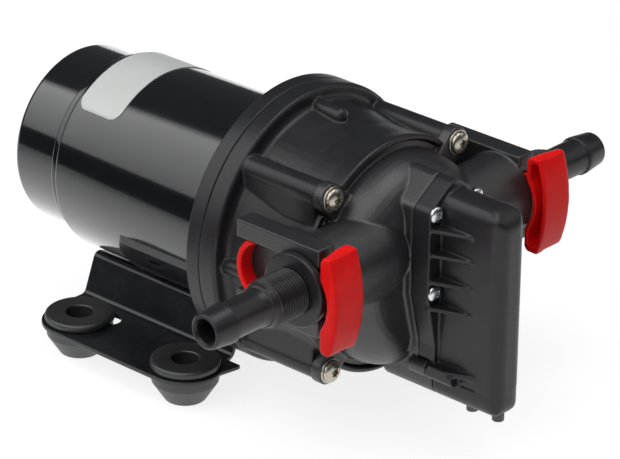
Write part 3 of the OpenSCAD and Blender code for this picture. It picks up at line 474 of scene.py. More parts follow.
COAT_ROUGHNESS = 0.06
DUST_COLOUR = (0.35, 0.34, 0.32, 1.0)
# Scale of the mottle in a finish's tone, as a multiple of the scale of its gloss patches.
MOTTLE_SCALE = 3.0


def finish(name, colour, rough, metallic=0.0, coat=0.0, grain=None, edge=None, patch=60.0, dust=0.1,
           tone=0.12, specular=0.5):
    """Material of one finish.

    Rough is the lowest and the highest roughness, grain is (scale, swell, strength, depth in mm), edge is
    (amount, colour), patch is the scale of the gloss patches, and tone is how far the colour strays.
    """
    material = bpy.data.materials.new(name)
    material.use_nodes = True
    tree = material.node_tree
    shader = tree.nodes["Principled BSDF"]
    shader.inputs["Metallic"].default_value = metallic
    shader.inputs["Specular IOR Level"].default_value = specular
    shader.inputs["Coat Weight"].default_value = coat
    shader.inputs["Coat Roughness"].default_value = COAT_ROUGHNESS
    handling = place_group(tree, "handling", scale=patch, low=rough[0], high=rough[1], dust=dust)
    tree.links.new(handling.outputs["Roughness"], shader.inputs["Roughness"])
    mottle = span_node(tree, noise_node(tree, patch * MOTTLE_SCALE, detail=4.0), *PATCH_SPAN, 0.0, 1.0)
    deep = tuple(channel * (1.0 - tone) for channel in colour[:3]) + (1.0,)
    pale = tuple(min(1.0, channel * (1.0 + tone)) for channel in colour[:3]) + (1.0,)
    shade = mix_colour(tree, mottle, deep, pale)
    if edge:
        amount, bare = edge
        rubbed = place_group(tree, "edges", amount=amount)
        shade = mix_colour(tree, rubbed.outputs["Mask"], shade, (*bare, 1.0))
    shade = mix_colour(tree, handling.outputs["Dust"], shade, DUST_COLOUR)
    tree.links.new(shade, shader.inputs["Base Color"])
    if grain:
        scale, swell, strength, depth = grain
        surface = place_group(tree, "grain", scale=scale, swell=swell)
        bump = tree.nodes.new("ShaderNodeBump")
        bump.inputs["Strength"].default_value = strength
        bump.inputs["Distance"].default_value = depth * MM
        tree.links.new(surface.outputs["Height"], bump.inputs["Height"])
        tree.links.new(bump.outputs["Normal"], shader.inputs["Normal"])
    return material


# Colours that show where paint, moulding, rubber and the clips are rubbed.
RUBBED_PAINT = (0.06, 0.06, 0.065)
RUBBED_MOULDING = (0.06, 0.06, 0.062)
RUBBED_RUBBER = (0.05, 0.05, 0.05)
RUBBED_CLIP = (0.7, 0.05, 0.045)
# Metals by slot: name, lowest and highest roughness, and tone.
METALS = {
    "warm_steel": ("Warm stainless steel", (0.22, 0.34), 0.10),
    "bright_steel": ("Bright plated steel", (0.22, 0.32), 0.06),
    "fastener_steel": ("Plated steel", (0.30, 0.42), 0.12),
    "ground_steel": ("Ground steel", (0.18, 0.28), 0.06),
    "spring_steel": ("Drawn wire", (0.28, 0.38), 0.08),
    "bronze": ("Plain bronze", (0.30, 0.42), 0.12),
    "copper": ("Copper", (0.26, 0.38), 0.14),
    "core_steel": ("Stacked steel", (0.40, 0.55), 0.18),
}
# Other stuffs inside by slot: name, and lowest and highest roughness.
INNER_STUFFS = {
    "ferrite": ("Ferrite", (0.55, 0.70)),
    "card": ("Brown laminate", (0.45, 0.60)),
    "carbon": ("Carbon", (0.60, 0.75)),
    "grey_moulding": ("Grey moulding", (0.40, 0.52)),
    "valve_rubber": ("Brown rubber", (0.60, 0.72)),
    "pale_moulding": ("Natural moulding", (0.38, 0.48)),
    "blue_moulding": ("Dark blue moulding", (0.36, 0.48)),
}
FINISHES = {}


def make_finishes(colours):
    """Builds every finish once."""
    paint = tuple(colours.paint)
    moulding = tuple(colours.moulding)
    FINISHES.update({
        "black_paint": finish(
            "Gloss black paint", paint, (0.12, 0.18), coat=1.0, grain=(500.0, 0.5, 0.06, 0.05),
            edge=(0.12, RUBBED_PAINT), dust=0.004),
        "bracket_paint": finish(
            "Satin black paint", paint, (0.22, 0.30), grain=(900.0, 0.5, 0.06, 0.05),
            edge=(0.15, RUBBED_PAINT), dust=0.004, specular=0.65),
        "black_moulding": finish(
            "Satin black moulding", moulding, (0.30, 0.40), grain=(2600.0, 0.4, 0.15, 0.06),
            edge=(0.3, RUBBED_MOULDING), dust=0.01, specular=0.42),
        "grained_moulding": finish(
            "Grained black moulding", moulding, (0.34, 0.44), grain=(2000.0, 0.5, 0.7, 0.14),
            edge=(0.3, RUBBED_MOULDING), dust=0.01, specular=0.85),
        "black_rubber": finish(
            "Black rubber", tuple(colours.rubber), (0.38, 0.50), grain=(1800.0, 0.5, 0.3, 0.08),
            edge=(0.2, RUBBED_RUBBER), dust=0.04, specular=1.0),
        "red_moulding": finish(
            "Red clip moulding", tuple(colours.clip), (0.26, 0.34), grain=(1200.0, 0.5, 0.08, 0.06),
            edge=(0.25, RUBBED_CLIP), tone=0.05, dust=0.0, specular=0.12),
        "label_film": finish(
            "Bare label film", tuple(colours.label), (0.34, 0.42), grain=(900.0, 0.5, 0.05, 0.03),
            tone=0.02, dust=0.05),
    })
    for slot, (name, rough, tone) in METALS.items():
        FINISHES[slot] = finish(name, SLOT_COLOUR[slot], rough, metallic=1.0, tone=tone, patch=180.0,
                                grain=(1600.0, 0.3, 0.10, 0.04), dust=0.02)
    for slot, (name, rough) in INNER_STUFFS.items():
        FINISHES[slot] = finish(name, SLOT_COLOUR[slot], rough, grain=(1800.0, 0.4, 0.25, 0.06))


class PUMP_OT_works(Operator):
    """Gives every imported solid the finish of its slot, the hidden works among them"""

    bl_idname = "pump.works"
    bl_label = "Works"

    def execute(self, context):
        make_finishes(context.scene.pump_colours)
        for node, piece in NODES.items():
            piece.data.materials.clear()
            piece.data.materials.append(FINISHES[SLOT_OF[node]])
        return {"FINISHED"}


# Motor pieces in mm: the can, the low cap at its back, the sleeve on it and the trim behind the sleeve.
CAN_WALL = 1.6
CAN_FLOOR = 1.0
CAN_ROUND = 2.6
CAP_RADIUS = 9.0
CAP_HEIGHT = 0.8
CAP_SLOPE = 0.6
CAP_EASE = 0.6
SLEEVE_SLIP = 0.05
SLEEVE_ROUND = 1.3
TRIM_GAP = 0.5
TRIM_ROUND = 0.9
# Easings of the motor's small corners in mm: fronts of the sleeve and the trim, and edges of their bores.
FRONT_EASE = 0.8
SLEEVE_BORE_EASE = 0.3
TRIM_BORE_EASE = 0.2


def motor_outlines():
    """Outlines of the turned motor pieces, as corners of radius, station and easing in mm."""
    can_low, can_high = pump_box("motor_can")
    sleeve_low, sleeve_high = pump_box("flux_sleeve")
    trim_low, trim_high = pump_box("trim_ring")
    can = -can_low.z
    inside = can - CAN_WALL
    back = can_low.x + CAP_HEIGHT
    floor = back + CAN_FLOOR
    bore = can + SLEEVE_SLIP
    sleeve = -sleeve_low.z
    trim = -trim_low.z
    trim_front = trim_high.x - TRIM_GAP
    return {
        "motor_can": [
            (0, can_low.x, 0), (CAP_RADIUS, can_low.x, CAP_EASE), (CAP_RADIUS + CAP_SLOPE, back, CAP_EASE),
            (can, back, CAN_ROUND), (can, can_high.x, 0), (inside, can_high.x, 0), (inside, floor, 0),
            (0, floor, 0)],
        "flux_sleeve": [
            (bore, sleeve_low.x, SLEEVE_BORE_EASE), (sleeve, sleeve_low.x, SLEEVE_ROUND),
            (sleeve, sleeve_high.x, FRONT_EASE), (bore, sleeve_high.x, 0)],
        "trim_ring": [
            (bore, trim_low.x, TRIM_BORE_EASE), (trim, trim_low.x, TRIM_ROUND),
            (trim, trim_front, FRONT_EASE), (bore, trim_front, 0)],
    }


class PUMP_OT_motor(Operator):
    """Builds the motor can, the sleeve over it, the trim ring and the bare label"""

    bl_idname = "pump.motor"
    bl_label = "Motor"

    def execute(self, context):
        steps = context.scene.pump_sizes.turn_steps
        paint = FINISHES["black_paint"]
        for node, corners in motor_outlines().items():
            mesh = turned_mesh(node + "_shell", eased(corners), AXIS, X_AXIS, steps)
            add_piece(node + "_shell", mesh, "pump", paint, node)
        label = as_mesh(node_bmesh("motor_label"), "label_film")
        add_piece("label_film", label, "pump", FINISHES["label_film"], "motor_label")
        return {"FINISHED"}


# Rounding of the end bell's edges in mm.
BELL_EASE = 0.4
# Rounds of smoothing on the drum and the head, and the share of their faces that is kept.
HOUSING_ROUNDS = 3
HOUSING_KEEP = 0.45


class PUMP_OT_housing(Operator):
    """Builds the motor end bell, the drive housing and the pump head as mouldings"""

    bl_idname = "pump.housing"
    bl_label = "Housing and head"

    def execute(self, context):
        voxel = context.scene.pump_sizes.moulding_voxel
        bell = edged_mesh("bell_shell", "end_bell", BELL_EASE * MM)
        add_piece("bell_shell", bell, "pump", FINISHES["black_moulding"], "end_bell")
        drum = moulded_mesh("drum_shell", node_bmesh("drive_housing"), voxel, HOUSING_ROUNDS, HOUSING_KEEP)
        add_piece("drum_shell", drum, "pump", FINISHES["black_moulding"], "drive_housing")
        head = moulded_mesh("head_shell", node_bmesh("port_housing"), voxel, HOUSING_ROUNDS, HOUSING_KEEP)
        add_piece("head_shell", head, "pump", FINISHES["grained_moulding"], "port_housing")
        return {"FINISHED"}


# Shares of the thread's pitch that one flank and the crest take. The rest is the root.
THREAD_FLANK = 0.35
THREAD_CREST = 0.2
# Rings of points in one pitch of the thread.
RINGS_PER_PITCH = 8
# Hose fitting in mm: radii, and stations along it from the middle plane.
FITTING_BORE = 4.4
PLUG_TIP = 6.1
PLUG_RADIUS = 6.75
PLUG_LEAD = 1.0
NECK_RADIUS = 5.7
NECK_START = 51.2
COLLAR_START = 57.6
THREAD_START = 60.6
THREAD_END = 75.6
THREAD_ROOT = 8.0
RING_RADIUS = 7.8
RING_START = 75.7
RING_END = 77.2
SHOULDER_RADIUS = 7.0
SHOULDER_START = 77.7
TAIL_RADIUS = 6.7
TAIL_START = 80.2
# Barb on the tail in mm: its lengths are measured back from the tip.
BARB_RADIUS = 7.35
BARB_BACK = 10.5
BARB_EDGE = 10.2
BARB_LAND = 9.0
NOSE_RADIUS = 6.4
NOSE_BACK = 0.65
TIP_OUTER = 5.7
TIP_INNER = 5.1
BORE_LEAD = 1.25


def thread_height(angle, station, pitch):
    """Share of the thread depth at an angle and a station, faded at both ends."""
    turn_share = ((station - THREAD_START) / pitch - angle / (2 * math.pi)) % 1.0
    climb = min(turn_share, 2 * THREAD_FLANK + THREAD_CREST - turn_share) / THREAD_FLANK
    fade = min((station - THREAD_START) / pitch, (THREAD_END - station) / pitch, 1.0)
    return min(max(climb, 0.0), 1.0) * max(fade, 0.0)


def fitting_outlines():
    """Outlines of a fitting before and after its thread, as corners of radius, station and easing in mm."""
    low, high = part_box("outlet_fitting")
    collar = (high.x - low.x) / 2 / MM
    inner = low.y / MM
    tip = high.y / MM
    foot = [
        (FITTING_BORE, inner, 0.3), (PLUG_TIP, inner, 0.5), (PLUG_RADIUS, inner + PLUG_LEAD, 0.3),
        (PLUG_RADIUS, NECK_START, 0.2), (NECK_RADIUS, NECK_START, 0.2), (NECK_RADIUS, COLLAR_START, 0.2),
        (collar, COLLAR_START, 0.6), (collar, THREAD_START, 0.8), (THREAD_ROOT, THREAD_START, 0.0)]
    tail = [
        (THREAD_ROOT, THREAD_END, 0.0), (RING_RADIUS, RING_START, 0.3), (RING_RADIUS, RING_END, 0.4),
        (SHOULDER_RADIUS, SHOULDER_START, 0.4), (TAIL_RADIUS, TAIL_START, 1.0),
        (TAIL_RADIUS, tip - BARB_BACK, 0.3), (BARB_RADIUS, tip - BARB_EDGE, 0.2),
        (BARB_RADIUS, tip - BARB_LAND, 0.6), (NOSE_RADIUS, tip - NOSE_BACK, 0.8), (TIP_OUTER, tip, 0.6),
        (TIP_INNER, tip, 0.3), (FITTING_BORE, tip - BORE_LEAD, 0.6)]
    return eased(foot), eased(tail)


class PUMP_OT_fittings(Operator):
    """Builds the two hose fittings, each with a collar, a cut thread and a barbed tail"""

    bl_idname = "pump.fittings"
    bl_label = "Hose fittings"

    def execute(self, context):
        sizes = context.scene.pump_sizes
        pitch = sizes.thread_pitch / MM
        depth = sizes.thread_depth / MM
        foot, tail = fitting_outlines()
        length = THREAD_END - THREAD_START
        count = int(round(length / pitch * RINGS_PER_PITCH))
        rings = plain_rings(foot[:-1])
        for index in range(count + 1):
            station = THREAD_START + length * index / count

            def ring(angle, station=station):
                return THREAD_ROOT + depth * thread_height(angle, station, pitch), station

            rings.append(ring)
        rings += plain_rings(tail[1:])
        for side, body in ((-1, "inlet"), (1, "outlet")):
            bm = bmesh.new()
            turn(bm, rings, PORT, Vector((0, side, 0)), sizes.turn_steps)
            mesh = as_mesh(bm, body + "_tail", crease=40.0)
            add_piece(body + "_tail", mesh, body, FINISHES["black_moulding"], body + "_fitting")
        return {"FINISHED"}


# Handle of a clip in mm along X from the port axis: its back, front, bowed face, wall and finger notch.
CLIP_BACK = 14.3
CLIP_FRONT = 22.2
CLIP_BOW = 50.0
CLIP_WALL = 1.7
NOTCH_RADIUS = 15.0
NOTCH_CENTRE = 2.5
# Stretch of the clip's back wall that is brought closer to the arm, in mm: where it starts along X, how far
# out from the middle plane it is full and gone, how far it moves, its margin and its shortest fade.
FILL_START = 10.0
FILL_FULL = 54.0
FILL_GONE = 60.0
FILL_STEP = 1.5
FILL_MARGIN = 0.2
FILL_FADE = 0.3
# Handle's start in mm along X from the port axis and out from the middle plane.
HANDLE_START = 12.0
HANDLE_INNER = 52.0
# Rounds of smoothing on a clip, those more on its handle, and the share of its faces that is kept.
CLIP_ROUNDS = 8
HANDLE_ROUNDS = 36
CLIP_KEEP = 0.5


def fill_notch(mesh):
    """Brings the inner half of a clip's back wall up to the arm that its notch goes round."""
    for vert in mesh.vertices:
        along = (vert.co.x - PORT.x) / MM
        side = abs(vert.co.y) / MM
        rise = (vert.co.z - PORT.z) / MM
        if along < FILL_START or side > FILL_GONE:
            continue
        notch = NOTCH_CENTRE + math.sqrt(max(0.0, NOTCH_RADIUS ** 2 - rise ** 2))
        wall = max(CLIP_BACK, notch) + CLIP_WALL + FILL_MARGIN
        bow = CLIP_BOW - math.sqrt(CLIP_BOW ** 2 - rise ** 2)
        front = CLIP_FRONT - bow - CLIP_WALL - FILL_MARGIN
        share = min(1.0, (along - FILL_START) / (CLIP_BACK - FILL_START))
        share *= min(1.0, max(0.0, (front - along) / max(front - wall, FILL_FADE)))
        share *= min(1.0, (FILL_GONE - side) / (FILL_GONE - FILL_FULL))
        vert.co.x -= FILL_STEP * share * MM


class PUMP_OT_clips(Operator):
    """Builds the two red clips that lock the fittings"""

    bl_idname = "pump.clips"
    bl_label = "Locking clips"

    def execute(self, context):
        voxel = context.scene.pump_sizes.clip_voxel

        def on_handle(point):
            return point.x > PORT.x + HANDLE_START * MM and abs(point.y) > HANDLE_INNER * MM

        for side in ("inlet", "outlet"):
            mesh = moulded_mesh(side + "_catch", node_bmesh(side + "_clip"), voxel, CLIP_ROUNDS, CLIP_KEEP,
                                soft=(on_handle, HANDLE_ROUNDS))
            fill_notch(mesh)
            add_piece(side + "_catch", mesh, side + "_lock", FINISHES["red_moulding"], side + "_clip")
        return {"FINISHED"}


# Plunger spring: its turns, and the radius of its wire in mm.
SPRING_TURNS = 4.5
SPRING_WIRE = 0.6
# Ends of the switch box that are eased more, in mm: depth from its front, and lengths at foot and top.
SOFT_DEPTH = 10.0
SOFT_FOOT = 11.0
SOFT_TOP = 14.0
SOFT_ROUNDS = 40
# The cover's voxel as a share of the mouldings', its rounds of smoothing and the share of faces kept.
COVER_VOXEL = 0.9
COVER_ROUNDS = 3
COVER_KEEP = 0.5
# Rounding of the edges of the lead bushes in mm.
NUB_EASE = 0.7


def coil_mesh(name, low, high, turns, wire, steps=40, sides=8):
    """Mesh of a wire of a given radius coiled along X inside a box, with half a flat turn at each end."""
    middle = (low + high) / 2
    radius = (high.y - low.y) / 2 - wire
    count = int(turns * steps)
    bm = bmesh.new()
    rows = []
    for index in range(count + 1):
        angle = 2 * math.pi * index / steps
        spoke = Vector((0, math.cos(angle), math.sin(angle)))
        share = min(max((index - steps / 2) / (count - steps), 0.0), 1.0)
        station = low.x + wire + (high.x - low.x - 2 * wire) * share
        centre = Vector((station, middle.y, middle.z)) + spoke * radius
        row = []
        for side in range(sides):
            around = 2 * math.pi * side / sides
            offset = spoke * math.cos(around) + X_AXIS * math.sin(around)
            row.append(bm.verts.new(centre + offset * wire))
        rows.append(row)
    for first, second in zip(rows, rows[1:]):
        for side in range(sides):
            after = (side + 1) % sides
            bm.faces.new((first[side], first[after], second[after], second[side]))
    bm.faces.new(rows[0])
    bm.faces.new(rows[-1])
    return as_mesh(bm, name, crease=50.0)


class PUMP_OT_switch(Operator):
    """Builds the pressure switch cover, the bushes under it and the spring on its plunger"""

    bl_idname = "pump.switch"
    bl_label = "Pressure switch"

    def execute(self, context):
        voxel = context.scene.pump_sizes.moulding_voxel
        low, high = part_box("switch_cover")

        def at_front_end(point):
            at_end = point.z < low.z + SOFT_FOOT * MM or point.z > high.z - SOFT_TOP * MM
            return point.x > high.x - SOFT_DEPTH * MM and at_end

        cover = moulded_mesh("switch_shell", node_bmesh("switch_cover"), voxel * COVER_VOXEL, COVER_ROUNDS,
                             COVER_KEEP, soft=(at_front_end, SOFT_ROUNDS))
        add_piece("switch_shell", cover, "pump", FINISHES["black_moulding"], "switch_cover")
        bushes = edged_mesh("lead_nubs", "lead_bushes", NUB_EASE * MM)
        add_piece("lead_nubs", bushes, "pump", FINISHES["black_rubber"], "lead_bushes")
        low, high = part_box("plunger_spring")
        spring = coil_mesh("plunger_coil", low, high, SPRING_TURNS, SPRING_WIRE * MM)
        coil = add_piece("plunger_coil", spring, "pump", FINISHES["spring_steel"], "plunger_spring")
        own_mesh(coil)
        return {"FINISHED"}


# Screw heads in mm: radius, height, height of the rim, radius of the recess and its depth.
ScrewHead = namedtuple("ScrewHead", "radius height rim recess depth")
HEAD_BOLT = ScrewHead(radius=4.2, height=2.3, rim=0.5, recess=1.5, depth=1.4)
COVER_BOLT = ScrewHead(radius=3.0, height=2.0, rim=0.7, recess=1.25, depth=1.3)
FLANGE_BOLT = ScrewHead(radius=3.4, height=2.4, rim=0.9, recess=1.4, depth=1.2)
# Any head in mm: chamfer at its foot, drop inside the recess's edge and point at its bottom.
HEAD_CHAMFER = 0.3
RECESS_DROP = 0.12
RECESS_POINT = 0.3
# Swing of the lobes, and the recess's edge and floor, as shares of its radius.
LOBE_SWING = 0.17
RECESS_EDGE = 1.1
RECESS_FLOOR = 0.96
# Share of the rim's height that stands straight, and the dome's rings as shares of the head's radius.
RIM_STRAIGHT = 0.8
DOME_RINGS = (0.985, 0.95, 0.88, 0.78, 0.66)
# Angle in degrees above which an edge of a screw head stays sharp.
HEAD_CREASE = 28.0
# Washers under the head screws in mm.
WASHER_BORE = 2.7
WASHER_RADIUS = 4.8
# Cover screws in mm from the motor axis: to both sides, and the heights of the two rows.
COVER_BOLT_SIDE = 10.7
COVER_BOLT_ROWS = (-1.5, 28.6)


def lobed_head(bm, centre, axis, head, lobes, steps):
    """Adds a domed screw head with a lobed recess."""
    radius, height, rim, recess, depth = head

    def dome(share):
        return rim + (height - rim) * math.sqrt(max(0.0, 1.0 - share * share))

    def lobe(angle, grow=1.0):
        return recess * grow * (1.0 + LOBE_SWING * math.cos(lobes * angle))

    rings = plain_rings([(0.0, 0.0), (radius - HEAD_CHAMFER, 0.0), (radius, HEAD_CHAMFER),
                         (radius, rim * RIM_STRAIGHT)])
    for share in DOME_RINGS:
        rings.append(lambda angle, share=share: (radius * share, dome(share)))
    rings.append(lambda angle: (lobe(angle, RECESS_EDGE), dome(lobe(angle, RECESS_EDGE) / radius)))
    rings.append(lambda angle: (lobe(angle), dome(lobe(angle) / radius) - RECESS_DROP))
    rings.append(lambda angle: (lobe(angle, RECESS_FLOOR), height - depth))
    rings.append(lambda angle: (0.0, height - depth - RECESS_POINT))
    turn(bm, rings, centre, axis, steps)


def add_bolts(name, node, places, axis, head, lobes, steps):
    """Adds like screw heads as one piece, at places in mm from the centre of the flange's back."""
    bm = bmesh.new()
    for place in places:
        lobed_head(bm, at_pump(*place), axis, head, lobes, steps)
    add_piece(name, as_mesh(bm, name, HEAD_CREASE), "pump", FINISHES[SLOT_OF[node]], node)


class PUMP_OT_screws(Operator):
    """Builds the head screws with their washers, the cover screws and the flange screws"""

    bl_idname = "pump.screws"
    bl_label = "Screws and washers"

    def execute(self, context):
        lobes = context.scene.pump_sizes.screw_lobes
        washer_low, washer_high = pump_box("head_washers")
        seat = washer_low.x
        top = washer_high.x
        spread = pump_box("head_screws")[1].z - HEAD_BOLT.radius
        corners = [(side, rise) for side in (-spread, spread) for rise in (-spread, spread)]
        add_bolts("head_bolts", "head_screws", [(top, *corner) for corner in corners], X_AXIS, HEAD_BOLT,
                  lobes, steps=72)
        ring = eased([(WASHER_BORE, seat, 0.15), (WASHER_RADIUS, seat, 0.15), (WASHER_RADIUS, top, 0.3),
                      (WASHER_BORE, top, 0.15)], steps=3)
        washers = bmesh.new()
        for corner in corners:
            turn(washers, plain_rings(ring), at_pump(0, *corner), X_AXIS, steps=64)
        washer_set = as_mesh(washers, "washer_set", crease=40.0)
        add_piece("washer_set", washer_set, "pump", FINISHES["warm_steel"], "head_washers")
        front = pump_box("cover_screws")[1].x - COVER_BOLT.height
        sides = (-COVER_BOLT_SIDE, COVER_BOLT_SIDE)
        places = [(front, side, rise) for side in sides for rise in COVER_BOLT_ROWS]
        add_bolts("cover_bolts", "cover_screws", places, X_AXIS, COVER_BOLT, lobes, steps=60)
        ring_radius = pump_box("flange_screws")[1].z - FLANGE_BOLT.radius
        places = [(0, 0, ring_radius), (0, 0, -ring_radius), (0, ring_radius, 0), (0, -ring_radius, 0)]
        add_bolts("flange_bolts", "flange_screws", places, -X_AXIS, FLANGE_BOLT, lobes, steps=48)
        return {"FINISHED"}


# Edges of the bent sheet that turn more than this angle in degrees are rounded.
SHEET_ANGLE = 50.0
# Rubber foot in mm: radii, and heights from the ground.
FOOT_HOLE = 2.6
FOOT_BASE = 7.6
FOOT_CONE = 12.4
CONE_START = 7.5
CONE_END = 11.4
GROOVE_RADIUS = 8.0
DISC_START = 13.0
WELL_RADIUS = 5.0
WELL_FLOOR = 4.0


def foot_outline(radius, height):
    """Outline of a rubber foot in mm, from the radius of its disc and its height."""
    return eased([
        (FOOT_HOLE, 0, 0.2), (FOOT_BASE, 0, 0.8), (FOOT_CONE, CONE_START, 0.9), (FOOT_CONE, CONE_END, 0.8),
        (GROOVE_RADIUS, CONE_END, 0.1), (GROOVE_RADIUS, DISC_START, 0.1), (radius, DISC_START, 0.7),
        (radius, height, 1.3), (WELL_RADIUS, height, 0.7), (WELL_RADIUS, WELL_FLOOR, 0.5),
        (FOOT_HOLE, WELL_FLOOR, 0.3)])


class PUMP_OT_stand(Operator):
    """Builds the bent bracket, the saddle strip and the four rubber feet"""

    bl_idname = "pump.stand"
    bl_label = "Bracket and feet"

    def execute(self, context):
        sizes = context.scene.pump_sizes
        paint = FINISHES["bracket_paint"]
        bracket = edged_mesh("bracket_sheet", "base_bracket", sizes.sheet_ease, SHEET_ANGLE)
        add_piece("bracket_sheet", bracket, "pump", paint, "base_bracket")
        saddle = edged_mesh("saddle_strip", "motor_saddle", sizes.sheet_ease, SHEET_ANGLE)
        add_piece("saddle_strip", saddle, "pump", paint, "motor_saddle")
        for place in ("front_near", "front_far", "rear_near", "rear_far"):
            low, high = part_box("foot_" + place)
            centre = Vector(((low.x + high.x) / 2, (low.y + high.y) / 2, low.z))
            outline = foot_outline((high.x - low.x) / 2 / MM, (high.z - low.z) / MM)
            mesh = turned_mesh("pad_" + place, outline, centre, Z_AXIS, sizes.turn_steps // 2)
            add_piece("pad_" + place, mesh, "pump", FINISHES["black_rubber"], "foot_" + place)
        return {"FINISHED"}


# Camera fitted to the photograph: angles in degrees, lengths in metres.
CAMERA_AZIMUTH = 42.058
CAMERA_ELEVATION = 25.407
CAMERA_ROLL = 0.658
CAMERA_DISTANCE = 1.354
CAMERA_SLIDE = (0.008841, -0.006234)
# Its lens and sensor in mm, and the nearest and furthest points that it shows in metres.
CAMERA_LENS = 217.28
CAMERA_SENSOR = 36.0
CAMERA_NEAR = 0.05
CAMERA_FAR = 30.0


def facing(right, up, back, place):
    """Matrix of a camera or lamp that looks away from its back direction."""
    return Matrix((
        (right.x, up.x, back.x, place[0]),
        (right.y, up.y, back.y, place[1]),
        (right.z, up.z, back.z, place[2]),
        (0, 0, 0, 1)))


def camera_axes():
    """Right, up and back directions of the fitted camera."""
    azimuth = math.radians(CAMERA_AZIMUTH)
    elevation = math.radians(CAMERA_ELEVATION)
    roll = math.radians(CAMERA_ROLL)
    back = Vector((math.sin(azimuth) * math.cos(elevation), -math.cos(azimuth) * math.cos(elevation),
                   math.sin(elevation)))
    level = Vector((math.cos(azimuth), math.sin(azimuth), 0))
    rise = back.cross(level)
    right = level * math.cos(roll) + rise * math.sin(roll)
    up = rise * math.cos(roll) - level * math.sin(roll)
    return right, up, back


def place_camera():
    """Camera at the photograph's viewing angle."""
    right, up, back = camera_axes()
    place = AXIS + back * CAMERA_DISTANCE + right * CAMERA_SLIDE[0] + up * CAMERA_SLIDE[1]
    data = bpy.data.cameras.new("studio_camera")
    data.lens = CAMERA_LENS
    data.sensor_width = CAMERA_SENSOR
    data.clip_start = CAMERA_NEAR
    data.clip_end = CAMERA_FAR
    camera = place_object("studio_camera", data)
    camera.matrix_world = facing(right, up, back, place)
    bpy.context.scene.camera = camera


# Soft lamps: place, aim, width and height in metres, and radiance.
LAMPS = {
    "key_box": ((-0.45, -0.52, 0.60), (-0.45, 0.0, 0.06), 1.9, 1.05, 1.45),
    "top_box": ((0.25, 0.2, 1.0), (0.07, 0.0, 0.06), 0.7, 0.6, 2.4),
    "fill_box": ((1.0, -0.2, 1.1), (0.05, 0.0, 0.06), 0.7, 0.7, 0.35),
    "back_box": ((0.75, 1.0, 0.8), (0.05, 0.0, 0.06), 0.9, 0.7, 0.7),
}
# Strength of the key lamp at its lower edge and near its upper one, and the share of its height that fades.
KEY_LOW = 0.6
KEY_HIGH = 1.45
KEY_RIM = 0.14


def soft_box(name, place, aim, width, height, glow):
    """Rectangular lamp of a given radiance, aimed at a point, with its width level."""
    data = bpy.data.lights.new(name, "AREA")
    data.shape = "RECTANGLE"
    data.size = width
    data.size_y = height
    data.energy = glow * math.pi * width * height
    lamp = place_object(name, data)
    back = (Vector(place) - Vector(aim)).normalized()
    right = Z_AXIS.cross(back).normalized()
    lamp.matrix_world = facing(right, back.cross(right), back, place)
    return lamp


def shade_lamp(lamp, low, high, rim):
    """Shades a lamp from its lower edge to its upper one, where it fades out over the rim."""
    lamp.data.use_nodes = True
    tree = lamp.data.node_tree
    shape = tree.nodes.new("ShaderNodeNewGeometry")
    split = tree.nodes.new("ShaderNodeSeparateXYZ")
    tree.links.new(shape.outputs["Parametric"], split.inputs["Vector"])
    rise = split.outputs["Y"]
    slope = span_node(tree, rise, 0.0, 1.0 - rim, low, high)
    fade = span_node(tree, rise, 1.0 - rim, 1.0, 1.0, 0.0)
    strength = math_node(tree, "MULTIPLY", slope, fade)
    tree.links.new(strength, tree.nodes["Emission"].inputs["Strength"])


FLOOR_RADIUS = 4.0
FLOOR_ROUGHNESS = 0.9
# Glow that lifts the floor where it is seen, and the share of its colour that takes light there.
FLOOR_GLOW = 0.82
FLOOR_SHARE = 0.42
# Side of the floor that the motor mirrors, and where along it the mirrored glow fades, in metres.
FADE_SIDE = (-0.64, -0.77, 0.0)
FADE_START = 0.115
FADE_END = 0.30


def seen_directly(tree):
    """One for rays that show the floor, fading for far mirrored ones, and none for its bounced light."""
    path = tree.nodes.new("ShaderNodeLightPath")
    shape = tree.nodes.new("ShaderNodeNewGeometry")
    reach = tree.nodes.new("ShaderNodeVectorMath")
    reach.operation = "DOT_PRODUCT"
    reach.inputs[1].default_value = FADE_SIDE
    tree.links.new(shape.outputs["Position"], reach.inputs[0])
    near = span_node(tree, reach.outputs["Value"], FADE_START, FADE_END, 1.0, 0.0)
    mirrored = math_node(tree, "MULTIPLY", path.outputs["Is Glossy Ray"], near)
    seen = math_node(tree, "MAXIMUM", path.outputs["Is Camera Ray"], mirrored)
    return math_node(tree, "MAXIMUM", seen, path.outputs["Is Transmission Ray"])


def floor_material(colour):
    """Pale floor that keeps the shadow and lifts to white where it is seen."""
    material = bpy.data.materials.new("Studio floor")
    material.use_nodes = True
    tree = material.node_tree
    shader = tree.nodes["Principled BSDF"]
    shader.inputs["Roughness"].default_value = FLOOR_ROUGHNESS
    shader.inputs["Specular IOR Level"].default_value = 0.0
    shader.inputs["Emission Color"].default_value = (1, 1, 1, 1)
    seen = seen_directly(tree)
    faint = tuple(channel * FLOOR_SHARE for channel in colour[:3]) + (1.0,)
    tree.links.new(mix_colour(tree, seen, colour, faint), shader.inputs["Base Color"])
    tree.links.new(math_node(tree, "MULTIPLY", seen, FLOOR_GLOW), shader.inputs["Emission Strength"])
    return material


# Dark card beside the motor, in metres: its ends along X, its place along Y, its foot and its top.
CARD_ENDS = (-1.4, 0.02)
CARD_SIDE = -0.27
CARD_FOOT = 0.002
CARD_TOP = 0.116
CARD_COLOUR = (0.01, 0.01, 0.01, 1)
# Faint cool light from all around.
WORLD_COLOUR = (0.9, 0.95, 1.0, 1)
WORLD_STRENGTH = 0.06


def make_floor(colour):
    """Round pale floor under the pump."""
    bm = bmesh.new()
    bmesh.ops.create_circle(bm, cap_ends=True, radius=FLOOR_RADIUS, segments=96)
    floor = place_object("floor", as_mesh(bm, "floor"))
    floor.data.materials.append(floor_material(colour))


